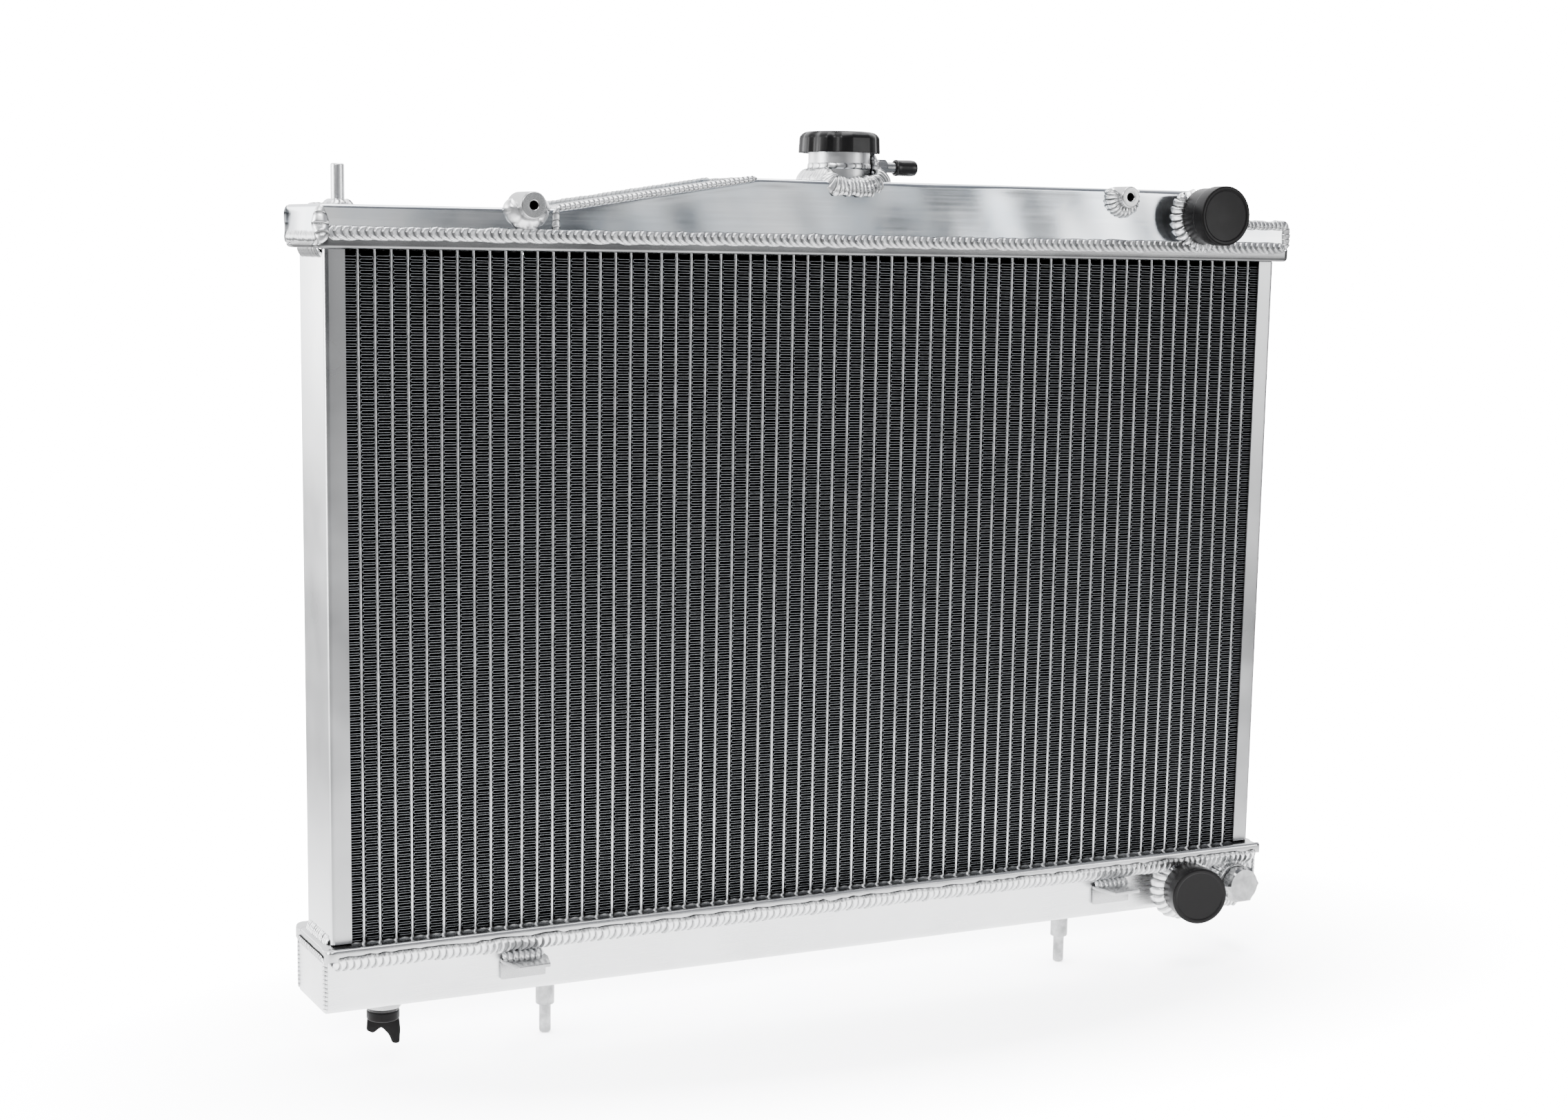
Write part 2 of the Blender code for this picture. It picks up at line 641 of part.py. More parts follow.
def make_dust_cap(name, port, swing, start):
    """A soft cup over the stub, a little wider where it passes the bead."""
    end = PORT_LENGTH + 0.0017
    wide, slim = 0.0195, 0.0184
    inner = PORT_RADIUS + PORT_BEAD + GAP
    step = PORT_LENGTH - 0.0085
    floor = PORT_LENGTH + GAP
    profile = [(0, end), (wide - 0.0010, end), (wide, end - 0.0010), (wide, step),
               (slim, step - 0.0012), (slim, start), (inner, start), (inner, floor), (0, floor)]
    cup = turned(name, profile, "vinyl", port.location, closed=False)
    cup.rotation_euler = (math.pi / 2, 0, -swing)


def make_ports():
    upper_plane = -TOP_HALF_DEPTH - GAP
    upper = make_port("upper_hose_port", 0.0)
    upper.location = (UPPER_PORT_X, -TOP_HALF_DEPTH, UPPER_PORT_Z)
    trim_behind(upper, upper_plane)
    make_dust_cap("upper_port_dust_cap", upper, 0.0, 0.0040)
    lower_plane = -BOTTOM_HALF_DEPTH - GAP
    lower = make_port("lower_hose_port", LOWER_PORT_SWING)
    lower.location = (LOWER_PORT_X, -BOTTOM_HALF_DEPTH - 0.0045, LOWER_PORT_Z)
    trim_behind(lower, lower_plane)
    make_dust_cap("lower_port_dust_cap", lower, LOWER_PORT_SWING, 0.0060)


# ---------------------------------------------------------------- fastening pieces

def make_shroud_boss(name, centre, radius, face_y, back_y, deck):
    """A blind-tapped round boss, notched where it sits on the tank's front top edge."""
    x, z = centre
    boss = publish(name, cylinder(radius, (x, back_y, z), (x, face_y, z)), "machined")
    tank_room = boxes([((x - 0.02, -TOP_HALF_DEPTH - GAP, z - 0.03),
                        (x + 0.02, 0.0, deck + GAP))])
    cut(boss, name + "_notch", tank_room)
    cut(boss, name + "_bore", cylinder(0.0026, (x, face_y - 0.002, z), (x, face_y + 0.009, z), 12))


def make_bracket(name, x):
    """A shelf that tapers to its front edge, on an upright leg against the tank."""
    back = -BOTTOM_HALF_DEPTH - GAP
    front = -0.0500
    top, thick = 0.0220, 0.0025
    root, tip = 0.0145, 0.0100
    outline = [(-root, back), (root, back), (root, back - 0.006), (tip, front), (-tip, front),
               (-root, back - 0.006)]
    bracket = publish(name, outline_mesh(outline, thick), "machined")
    bracket.location = (x, 0, top - thick / 2)
    leg = boxes([((x - root, back - thick, 0.0090), (x + root, back, top - thick / 2))])
    join(bracket, name + "_leg", leg)


def make_pin(name, x):
    """A shouldered locating pin welded under the bottom tank."""
    shoulder, pin = 0.0059, 0.0037
    profile = [(0, -GAP), (shoulder, -GAP), (shoulder, -0.0183), (pin, -0.0183),
               (pin, -0.0358), (pin - 0.0010, -0.0368), (0, -0.0368)]
    turned(name, profile, "machined", (x, PIN_Y, 0), SMALL_STEPS, closed=False)


def make_rod():
    radius, low, high = 0.0040, LOW_TOP + GAP, 0.4974
    profile = [(0, high), (radius - 0.0006, high), (radius, high - 0.0006), (radius, low),
               (0, low)]
    turned("upper_locating_rod", profile, "machined", (ROD_X, PIN_Y, 0), SMALL_STEPS,
           closed=False)


def make_drain():
    """The bung under the tank, the O-ring in its mouth and the winged drain cock."""
    place = (DRAIN_X, PIN_Y, 0)
    bung_low = -0.0065
    turned("drain_boss", [(0.0110, -GAP), (0.0110, bung_low), (0.0068, bung_low),
                          (0.0068, -GAP)], "machined", place, SMALL_STEPS)
    turned("drain_o_ring", [(0.0098, bung_low - GAP), (0.0098, bung_low - 0.0018),
                            (0.0068, bung_low - 0.0018), (0.0068, bung_low - GAP)],
           "rubber", place, SMALL_STEPS)
    collar_top = bung_low - 0.0021
    collar_low = -0.0145
    cock = [(0, 0.0070), (0.0064, 0.0070), (0.0064, collar_top), (0.0100, collar_top),
            (0.0100, collar_low), (0, collar_low)]
    handle = turned("drain_cock", cock, "nylon", place, SMALL_STEPS, closed=False)
    half = 0.0019
    wing = [(-0.0095, -0.0140), (-0.0102, -0.0215), (-0.0060, -0.0235), (-0.0010, -0.0195),
            (0.0035, -0.0245), (0.0055, -0.0300), (0.0098, -0.0300), (0.0104, -0.0215),
            (0.0095, -0.0140)]
    grip = join(handle, "drain_wing", side_outline(wing, half), place)
    grip.rotation_euler = (0, 0, math.radians(-20))


def make_plug():
    """The hexagon blanking plug in its round boss, with the sealing washer between."""
    face = -BOTTOM_HALF_DEPTH - GAP
    boss_front = -0.0365

    def on_plug(start, end):
        return (PLUG_X, start, PLUG_Z), (PLUG_X, end, PLUG_Z)

    boss = publish("plug_boss", cylinder(0.0135, *on_plug(face, boss_front)), "machined")
    cut(boss, "plug_boss_bore", cylinder(0.0072, *on_plug(0.0, -0.06)))
    washer = publish("plug_washer", cylinder(0.0112, *on_plug(boss_front - GAP, -0.0380)),
                     "machined")
    cut(washer, "plug_washer_bore", cylinder(0.0072, *on_plug(0.0, -0.06)))
    head = cylinder(0.0118 / math.cos(math.pi / 6), *on_plug(-0.0383, -0.0465), 6,
                    sides_flat=True)
    plug = publish("hex_plug", head, "machined")
    join(plug, "plug_shank", cylinder(0.0068, *on_plug(-0.0390, -0.0240)))


def main():
    make_tube_bank("tube_bank_front", 0)
    make_tube_bank("tube_bank_rear", 1)
    make_fin_bank()
    make_header("bottom_header", CORE_BOTTOM - SHEET, CORE_BOTTOM - HEADER_DROP, CORE_BOTTOM, -1)
    make_header("top_header", CORE_TOP, CORE_TOP, CORE_TOP + HEADER_DROP, 1)
    make_side_plate("side_plate_left", -1)
    make_side_plate("side_plate_right", 1)
    make_low_section("top_tank_left_section", -TANK_HALF_WIDTH, RAMP_START_X - GAP)
    make_low_section("top_tank_right_section", RAISED_END_X + GAP, TANK_HALF_WIDTH)
    make_raised_section()
    make_ramp_plate()
    make_step_plate()
    make_top_end("top_tank_left_end", -1)
    make_top_end("top_tank_right_end", 1)
    make_bottom_tank()
    make_bottom_end("bottom_tank_left_end", -1)
    make_bottom_end("bottom_tank_right_end", 1)
    make_filler_neck()
    make_overflow()
    make_cap_shell()
    make_ear_plate()
    make_cap_inside()
    coil("pressure_spring", 0.0095, 0.0009, 0.5065, 0.5153, 3.5, "steel")
    coil("vacuum_valve_spring", 0.0022, 0.0003, 0.5059, 0.5080, 2.5, "steel")
    make_ports()
    make_shroud_boss("shroud_boss_left", LEFT_BOSS, 0.0080, -0.0460, -0.0220, LOW_TOP)
    make_shroud_boss("shroud_boss_right", RIGHT_BOSS, 0.0070, -0.0440, -0.0260, RAISED_TOP)
    make_bracket("shroud_bracket_left", -BRACKET_X)
    make_bracket("shroud_bracket_right", BRACKET_X)
    make_pin("lower_locating_pin_left", -PIN_X)
    make_pin("lower_locating_pin_right", PIN_X)
    make_rod()
    make_drain()
    make_plug()


main()
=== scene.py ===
"""The look of a welded aluminium car radiator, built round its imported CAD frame.

X runs across the core, -Y is the hose-port side and +Z is up. Lengths are in metres, apart from
the points given to mm() and the sizes of weld beads, which are in millimetres.
"""
import math

import bmesh
import bpy
import numpy as np
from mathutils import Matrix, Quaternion, Vector


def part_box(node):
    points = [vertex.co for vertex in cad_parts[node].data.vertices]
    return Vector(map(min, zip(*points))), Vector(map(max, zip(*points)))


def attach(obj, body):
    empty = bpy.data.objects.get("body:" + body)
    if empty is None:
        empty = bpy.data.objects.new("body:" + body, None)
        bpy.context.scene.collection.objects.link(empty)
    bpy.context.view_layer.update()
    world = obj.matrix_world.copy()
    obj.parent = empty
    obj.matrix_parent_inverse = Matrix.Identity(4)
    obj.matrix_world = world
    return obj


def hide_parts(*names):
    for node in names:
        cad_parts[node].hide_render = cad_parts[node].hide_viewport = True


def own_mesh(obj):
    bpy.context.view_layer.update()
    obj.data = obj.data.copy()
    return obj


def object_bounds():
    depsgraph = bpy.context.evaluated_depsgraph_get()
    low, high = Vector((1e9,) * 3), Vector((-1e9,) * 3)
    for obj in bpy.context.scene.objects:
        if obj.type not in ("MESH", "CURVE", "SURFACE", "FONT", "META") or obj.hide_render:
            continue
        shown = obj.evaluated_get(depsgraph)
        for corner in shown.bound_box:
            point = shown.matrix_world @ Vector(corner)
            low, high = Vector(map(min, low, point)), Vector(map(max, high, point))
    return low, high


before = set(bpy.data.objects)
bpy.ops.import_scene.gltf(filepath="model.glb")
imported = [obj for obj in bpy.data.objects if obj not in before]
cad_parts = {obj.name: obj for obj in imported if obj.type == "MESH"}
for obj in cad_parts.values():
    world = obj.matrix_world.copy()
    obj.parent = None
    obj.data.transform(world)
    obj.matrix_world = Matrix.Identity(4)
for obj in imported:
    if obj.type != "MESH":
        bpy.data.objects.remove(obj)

CAD_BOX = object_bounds()
MM = 0.001
ROOT = "radiator"
UP, DOWN, FORWARD, RIGHT = (0, 0, 1), (0, 0, -1), (0, -1, 0), (1, 0, 0)
RNG = np.random.default_rng(7)


def mm(*points):
    """Points given in millimetres, as points in metres."""
    return [tuple(value * MM for value in point) for point in points]


def middle(node):
    """The centre of a CAD node's box."""
    return tuple((low + high) / 2 for low, high in zip(*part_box(node)))


# Places that the frame's nodes give
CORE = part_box("fin_bank")
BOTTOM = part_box("bottom_tank_channel")
BOTTOM_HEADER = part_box("bottom_header")
TOP_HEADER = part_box("top_header")
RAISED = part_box("top_tank_raised_section")
LEFT_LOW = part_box("top_tank_left_section")
RIGHT_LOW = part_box("top_tank_right_section")
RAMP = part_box("top_tank_ramp_plate")
NECK_X, NECK_Y, _ = middle("cap_upper_gasket")

TUBE_COUNT = 64
PITCH = 10 * MM
TUBE_HALF = 1.0 * MM


# ---------------- mesh helpers

def quads_mesh(name, verts, quads, smooth=True):
    """A mesh from arrays of points and of four-cornered faces."""
    verts = np.asarray(verts, dtype=np.float32).reshape(-1, 3)
    quads = np.asarray(quads, dtype=np.int32).reshape(-1, 4)
    mesh = bpy.data.meshes.new(name)
    mesh.vertices.add(len(verts))
    mesh.vertices.foreach_set("co", verts.ravel())
    mesh.loops.add(quads.size)
    mesh.loops.foreach_set("vertex_index", quads.ravel())
    mesh.polygons.add(len(quads))
    mesh.polygons.foreach_set("loop_start", np.arange(0, quads.size, 4, dtype=np.int32))
    mesh.update(calc_edges=True)
    if smooth:
        mesh.shade_smooth()
    return mesh


def grid_quads(rows, cols, wrap_rows=False, wrap_cols=False, start=0):
    r = np.arange(rows if wrap_rows else rows - 1)
    c = np.arange(cols if wrap_cols else cols - 1)
    r, c = np.meshgrid(r, c, indexing="ij")
    r2 = (r + 1) % rows
    c2 = (c + 1) % cols
    quads = np.stack([r * cols + c, r2 * cols + c, r2 * cols + c2, r * cols + c2], axis=-1)
    return quads.reshape(-1, 4) + start


def face_outward(mesh, merge=None, loops=(), count=0):
    """Turn the faces outward, once near points are merged and open ends are closed.

    loops are the first points of end loops with count points each.
    """
    bm = bmesh.new()
    bm.from_mesh(mesh)
    bm.verts.ensure_lookup_table()
    for first in loops:
        bm.faces.new([bm.verts[first + i] for i in range(count)])
    if merge:
        bmesh.ops.remove_doubles(bm, verts=bm.verts, dist=merge)
    bmesh.ops.recalc_face_normals(bm, faces=bm.faces)
    bm.to_mesh(mesh)
    bm.free()
    mesh.shade_smooth()


def place(name, mesh, material, body=ROOT, stands_for=(), sharp=None):
    """Put a piece in the scene on a body, standing for the CAD nodes it replaces."""
    item = bpy.data.objects.new(name, mesh)
    bpy.context.scene.collection.objects.link(item)
    mesh.materials.append(material)
    if sharp is not None:
        mesh.set_sharp_from_angle(angle=math.radians(sharp))
    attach(item, body)
    if stands_for:
        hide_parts(*stands_for)
    return item


def soften(points, radius, steps=4):
    """Replace the inner corners of a polyline by arcs of about the given radius."""
    points = [Vector(p) for p in points]
    out = [points[0]]
    for before, corner, after in zip(points, points[1:], points[2:]):
        a, b = before - corner, after - corner
        reach = min(radius, a.length * 0.45, b.length * 0.45)
        start, end = corner + a.normalized() * reach, corner + b.normalized() * reach
        for index in range(steps + 1):
            t = index / steps
            out.append(start * (1 - t) ** 2 + corner * 2 * t * (1 - t) + end * t ** 2)
    out.append(points[-1])
    return [tuple(p) for p in out]


def axis_frame(direction):
    """Two vectors square to a direction and to each other."""
    along = Vector(direction).normalized()
    side = along.cross(Vector((0, 0, 1)))
    if side.length < 0.1:
        side = Vector((1, 0, 0))
    side.normalize()
    return along, side, along.cross(side).normalized()


def lathe(name, nodes, profile, origin, direction, material, segments=64, radius_at=None,
          sharp=40, body=ROOT):
    """Turn (radius, height) points about an axis; radius_at may reshape each ring."""
    along, side, up = axis_frame(direction)
    verts = []
    for radius, height in profile:
        for index in range(segments):
            angle = 2 * math.pi * index / segments
            r = radius if radius_at is None else radius_at(radius, height, angle)
            spoke = side * math.cos(angle) + up * math.sin(angle)
            verts.append(Vector(origin) + along * height + spoke * r)
    mesh = quads_mesh(name, verts, grid_quads(len(profile), segments, wrap_cols=True))
    face_outward(mesh, merge=0.005 * MM)
    return place(name, mesh, material, body, nodes, sharp)


def hexagon(flat):
    """A reshaping for lathe that cuts six spanner flats, the given size across them."""
    def at(radius, height, angle):
        turn = (angle % (math.pi / 3)) - math.pi / 6
        return min(flat / 2 / math.cos(turn), radius)
    return at


def prism_mesh(name, outline, to_world, depth):
    """An outline in its own plane, given a thickness; to_world maps (u, v, w) to a point."""
    count = len(outline)
    verts = [to_world(u, v, w) for w in (0.0, depth) for u, v in outline]
    faces = [list(range(count)), list(range(count, 2 * count))]
    faces += [(i, (i + 1) % count, count + (i + 1) % count, count + i) for i in range(count)]
    mesh = bpy.data.meshes.new(name)
    mesh.from_pydata(verts, [], faces)
    face_outward(mesh)
    return mesh


def sweep(name, nodes, rows, material, sharp):
    """A closed skin over a row of sections with equally many points."""
    count = len(rows[0])
    mesh = quads_mesh(name, np.stack(rows), grid_quads(len(rows), count))
    face_outward(mesh, loops=(0, (len(rows) - 1) * count), count=count)
    place(name, mesh, material, ROOT, nodes, sharp)


def bevel(item, width, segments=3, angle=35):
    step = item.modifiers.new("edges", "BEVEL")
    step.width = width
    step.segments = segments
    step.limit_method = "ANGLE"
    step.angle_limit = math.radians(angle)
    step.harden_normals = False
    return item


# ---------------- materials

def wire(tree, node, inputs):
    """Link a socket, or set a constant, to each named or numbered input of a node."""
    for key, value in inputs.items():
        if isinstance(value, bpy.types.NodeSocket):
            tree.links.new(value, node.inputs[key])
        else:
            node.inputs[key].default_value = value


def add(tree, kind, inputs, output=0, **settings):
    """Add a shader node, and return one of its outputs."""
    node = tree.nodes.new("ShaderNode" + kind)
    for name, value in settings.items():
        setattr(node, name, value)
    wire(tree, node, inputs)
    return node.outputs[output]


def new_material(name):
    made = bpy.data.materials.new(name)
    made.use_nodes = True
    tree = made.node_tree
    return made, tree, tree.nodes["Principled BSDF"]


def object_coords(tree, stretch=(1, 1, 1)):
    coords = add(tree, "TexCoord", {}, "Object")
    return add(tree, "Mapping", {"Vector": coords, "Scale": stretch})


def coordinate(tree, axis, kind="Object"):
    """One coordinate of the object, or of another output of the coordinate node."""
    return add(tree, "SeparateXYZ", {"Vector": add(tree, "TexCoord", {}, kind)}, axis)


def noise(tree, scale, stretch=(1, 1, 1), detail=3.0, rough=0.55):
    return add(tree, "TexNoise", {"Vector": object_coords(tree, stretch), "Scale": scale,
                                  "Detail": detail, "Roughness": rough}, "Fac")


def calculate(tree, operation, *values):
    return add(tree, "Math", dict(enumerate(values)), operation=operation)


def spread(tree, value, low=0.0, high=1.0, from_low=0.3, from_high=0.7):
    """Stretch a value's range, from_low to from_high, to low to high."""
    return add(tree, "MapRange", {"Value": value, "From Min": from_low, "From Max": from_high,
                                  "To Min": low, "To Max": high})


def blend_colours(tree, factor, *colours):
    """Mix two colours, each a tuple or a socket; the mix node's colour sockets have numbers."""
    first, second = [(*c, 1.0) if isinstance(c, tuple) else c for c in colours]
    return add(tree, "Mix", {0: factor, 6: first, 7: second}, 2, data_type="RGBA")


def bump(tree, height, strength, distance=0.05 * MM):
    return add(tree, "Bump", {"Height": height, "Strength": strength, "Distance": distance})


def grey(value, cool=0.0):
    return (value * (1 - cool), value, value * (1 + cool))


def aluminium(name, light, dark, rough, grain=(1, 1, 1), grain_scale=900.0, relief=0.25,
              cloud_scale=14.0, cool=0.008):
    """Bare aluminium with cloudy tone, uneven gloss and a directional grain."""
    made, tree, shader = new_material(name)
    clouds = noise(tree, cloud_scale)
    lines = noise(tree, grain_scale, grain, 5.0, 0.65)
    gloss = calculate(tree, "ADD", clouds, lines)
    wire(tree, shader, {
        "Metallic": 1.0,
        "Base Color": blend_colours(tree, spread(tree, clouds), grey(dark, cool),
                                    grey(light, 0.006)),
        "Roughness": spread(tree, gloss, rough * 0.8, rough * 1.3, 0.7, 1.3),
        "Normal": bump(tree, lines, relief)})
    return made


def weld_metal():
    """Bright frozen weld pool with glossy crests; painted shade turns it dark grey where the ripples
    meet and along the bead's edges.
    """
    made, tree, shader = new_material("weld_bead")
    crease_shade = add(tree, "Attribute", {}, "Fac", attribute_name="crease_shade")
    clouds = noise(tree, 160.0, detail=4.0)
    bright = blend_colours(tree, spread(tree, clouds), grey(0.86, 0.01), grey(0.97, 0.004))
    wire(tree, shader, {
        "Metallic": 1.0,
        # painted shade: the creases between ripples and the bead's edges are darkened to dark grey
        "Base Color": blend_colours(tree, crease_shade, bright, grey(0.10, 0.012)),
        "Roughness": spread(tree, clouds, 0.24, 0.40),
        "Normal": bump(tree, noise(tree, 1500.0), 0.15, 0.04 * MM)})
    return made


def core_metal(name, light, dark, inside, rough, start, end, scale, cool=0.01):
    """Brazed core metal: pale at both faces of the core, with near-black painted shade between them.

    The change runs from start to end, both measured in from the core's faces.
    """
    made, tree, shader = new_material(name)
    # painted shade: from start to end in from each face the metal turns near-black, not metallic and
    # without specular
    depth = calculate(tree, "ABSOLUTE", coordinate(tree, "Y"))
    edge = spread(tree, depth, 0.0, 1.0, CORE[1][1] - start, CORE[1][1] - end)
    clouds = noise(tree, scale)
    face = blend_colours(tree, spread(tree, clouds), grey(dark, cool), grey(light, cool))
    wire(tree, shader, {
        "Metallic": edge,
        "Specular IOR Level": 0.0,
        "Base Color": blend_colours(tree, edge, grey(inside, 0.02), face),
        "Roughness": spread(tree, clouds, rough * 0.8, rough * 1.2)})
    return made


def plate_metal():
    """Side plate: plain sheet metal outside, near-black painted shade where it lies against the core,
    and painted shade darkening its front and back flanges.
    """
    made, tree, shader = new_material("side_plate_sheet")
    outside = []
    for axis, edge in (("X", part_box("side_plate_right")[1][0] - 1.0 * MM),
                       ("Y", CORE[1][1] - 0.8 * MM)):
        size = calculate(tree, "ABSOLUTE", coordinate(tree, axis))
        outside.append(spread(tree, size, 0.0, 1.0, edge, edge + 0.4 * MM))
    # painted shade: where the plate lies against the core it is near-black, not metallic, without
    # specular
    unshaded_sheet = calculate(tree, "MAXIMUM", *outside)
    clouds = noise(tree, 14.0)
    # painted shade: the front and back flanges get a darker tone than the outer face of the same sheet
    flange = blend_colours(tree, spread(tree, clouds), grey(0.44, 0.012), grey(0.68, 0.008))
    web = blend_colours(tree, spread(tree, clouds), grey(0.88, 0.008), grey(0.96, 0.006))
    sheet = blend_colours(tree, outside[0], flange, web)
    wire(tree, shader, {
        "Metallic": unshaded_sheet,
        "Specular IOR Level": 0.0,
        "Base Color": blend_colours(tree, unshaded_sheet, grey(0.01), sheet),
        "Roughness": spread(tree, clouds, 0.24, 0.39),
        "Normal": bump(tree, noise(tree, 900.0, (1, 1, 0.05), 5.0, 0.65), 0.18)})
    return made


def black_plastic(name, tone, rough, scale=500.0, relief=0.15, shine=0.25):
    made, tree, shader = new_material(name)
    clouds = noise(tree, 40.0, detail=4.0)
    wire(tree, shader, {
        "Specular IOR Level": shine,
        "Base Color": blend_colours(tree, spread(tree, clouds), (tone, tone * 0.94, tone * 0.97),
                                    (tone * 1.5, tone * 1.42, tone * 1.47)),
        "Roughness": spread(tree, clouds, rough * 0.85, rough * 1.2),
        "Normal": bump(tree, noise(tree, scale), relief)})
    return made


def brass():
    made, tree, shader = new_material("valve_brass")
    clouds = noise(tree, 90.0, detail=4.0)
    wire(tree, shader, {
        "Metallic": 1.0,
        "Base Color": blend_colours(tree, spread(tree, clouds), (0.62, 0.44, 0.2),
                                    (0.76, 0.58, 0.3)),
        "Roughness": spread(tree, clouds, 0.22, 0.4)})
    return made


POLISHED = aluminium("polished_sheet", 0.88, 0.58, 0.15, (0.02, 1, 1), 420.0, 0.30, 17.0, 0.09)
# painted shade: the top header rail is the same pressed sheet as the lower one, given a much darker
# colour
SHADED_RAIL = aluminium("header_rail", 0.30, 0.18, 0.24, (0.04, 1, 1), 1100.0, 0.30)
PALE_RAIL = aluminium("lower_header_rail", 0.68, 0.50, 0.24, (0.04, 1, 1), 1100.0, 0.30)
SATIN = aluminium("satin_sheet", 0.96, 0.80, 0.28, (0.05, 1, 1), 900.0, 0.18, 22.0)
MACHINED = aluminium("machined", 0.54, 0.32, 0.25, (1, 1, 1), 1800.0, 0.3)
ROD = aluminium("rod_stock", 0.46, 0.24, 0.20, (1, 1, 0.08), 700.0, 0.3, 120.0)
TURNED = aluminium("neck_turned", 0.86, 0.66, 0.34, (1, 1, 1), 1300.0)
STEEL = aluminium("plated_steel", 0.62, 0.52, 0.3, (1, 1, 1), 900.0, 0.2)
PLATE = plate_metal()
# painted shade: both core materials turn near-black between the core's faces
BRAZED = core_metal("brazed_tubes", 0.94, 0.74, 0.004, 0.30, 0.9 * MM, 0.3 * MM, 300.0)
FIN = core_metal("fin_stock_folded", 0.27, 0.17, 0.0006, 0.45, 0.40 * MM, 0.1 * MM, 250.0, 0.05)
WELD = weld_metal()
RUBBER = black_plastic("rubber", 0.007, 0.30, 700.0, 0.3, 0.35)
VINYL = black_plastic("dust_cap_vinyl", 0.005, 0.34, 600.0, 0.12, 0.16)
GRIP = black_plastic("cap_grip_black", 0.004, 0.33, 300.0, 0.06, 0.26)
NYLON = black_plastic("nylon_black", 0.005, 0.42, shine=0.08)
# painted shade: a near-black sleeve lines the tapped bores of the shroud bosses
BORE_SHADE = black_plastic("shaded_thread", 0.004, 0.5, 900.0, 0.2, 0.1)
BRASS = brass()


# ---------------- weld beads

def resample(path, step, closed):
    """Points, spaced evenly along a polyline."""
    path = np.asarray(path, dtype=float)
    if closed:
        path = np.vstack([path, path[:1]])
    lengths = np.r_[0, np.cumsum(np.linalg.norm(np.diff(path, axis=0), axis=1))]
    count = max(8, int(round(lengths[-1] / step)))
    at = np.linspace(0, lengths[-1], count + 1)
    if closed:
        at = at[:-1]
    points = np.stack([np.interp(at, lengths, path[:, k]) for k in range(3)], axis=1)
    return points, at


def weld(name, path, out, size, curve=0.3, lean=0.0, closed=False, depth=0.45, across=11,
         wander=0.06, seed=1, dark=0.95):
    """A bead of overlapping ripples along a path.

    out is the bead's outward direction, or a function of the point; size is its width, height and
    pitch in millimetres. curve and lean shape each ripple's edge, in pitches; depth is how far the
    ripples cut into the bead's height, and dark how strongly painted shade darkens the creases
    between the ripples and the bead's edges.
    """
    width, height, pitch = (value * MM for value in size)
    rng = np.random.default_rng(seed)
    points, at = resample(path, pitch / 12, closed)
    if closed:
        length = at[-1] + at[1]
        turns = max(3, round(length / pitch))
        pitch = length / turns
        tangent = np.roll(points, -1, axis=0) - np.roll(points, 1, axis=0)
    else:
        tangent = np.gradient(points, axis=0)
    tangent /= np.linalg.norm(tangent, axis=1)[:, None]
    if callable(out):
        normal = np.array([tuple(out(Vector(p))) for p in points])
    else:
        normal = np.tile(np.asarray(out, dtype=float), (len(points), 1))
    normal -= tangent * np.sum(normal * tangent, axis=1)[:, None]
    normal /= np.linalg.norm(normal, axis=1)[:, None]
    sideways = np.cross(tangent, normal)
    t = np.linspace(-1, 1, across)
    phase = at[:, None] / pitch + curve * t[None, :] ** 2 - lean * t[None, :]
    drops = int(at[-1] / pitch) + 8
    tall = 1 + 0.08 * rng.standard_normal(drops)
    wide = 1 + wander * rng.standard_normal(drops)
    shift = wander * 0.5 * rng.standard_normal(drops)
    if closed:
        index = np.floor(phase).astype(int) % turns
    else:
        index = np.clip(np.floor(phase).astype(int) + 3, 0, drops - 1)
    part = phase - np.floor(phase)
    dome = np.sqrt(np.clip(1 - np.abs(t) ** 2.4, 0, 1))[None, :]
    scale = (1 - depth * part ** 1.3) * np.clip(tall[index], 0.7, 1.3)
    crease = np.exp(-((part - 0.94) / 0.15) ** 2) + np.exp(-((part + 0.06) / 0.09) ** 2)
    rise = height * dome * (scale - 0.16 * crease)
    wide = np.interp(at / pitch, np.arange(drops), wide)
    shift = np.interp(at / pitch, np.arange(drops), shift)
    from_end = np.minimum(at, at[-1] - at) / pitch
    if closed:
        fade = np.clip(from_end / 3, 0, 1)
        wide = 1 + (wide - 1) * fade
        shift = shift * fade
    else:
        grow = np.sqrt(np.clip(from_end / 0.8, 0.02, 1.0))
        wide = wide * grow
        rise = rise * grow[:, None]
    reach = width / 2 * (t[None, :] * wide[:, None] + shift[:, None])
    rise = rise - 0.25 * MM * (1 - dome)
    verts = (points[:, None, :] + sideways[:, None, :] * reach[..., None]
             + normal[:, None, :] * rise[..., None])
    quads = grid_quads(len(points), across, wrap_rows=closed)
    mesh = quads_mesh(name, verts, quads[:, ::-1])
    # painted shade: each point's darkening, strongest in the creases between ripples and at the bead's
    # edges
    crease_shade = mesh.attributes.new("crease_shade", "FLOAT", "POINT")
    toe_shade = np.clip((np.abs(t)[None, :] - 0.80) / 0.20, 0, 1) * 0.7
    value = np.clip((crease + toe_shade) * dark, 0, 1).astype(np.float32)
    crease_shade.data.foreach_set("value", value.ravel())
    return place(name, mesh, WELD)


def ring(centre, radius, direction, start=0.0, end=360.0, steps=72, push=0.0):
    """Points round a circle; angle 0 is sideways and 90 is along the frame's second side."""
    along, side, up = axis_frame(direction)
    points = []
    for index in range(steps + (0 if end - start >= 360 else 1)):
        angle = math.radians(start + (end - start) * index / steps)
        spoke = side * math.cos(angle) + up * math.sin(angle)
        points.append(tuple(Vector(centre) + spoke * radius + along * push))
    return points


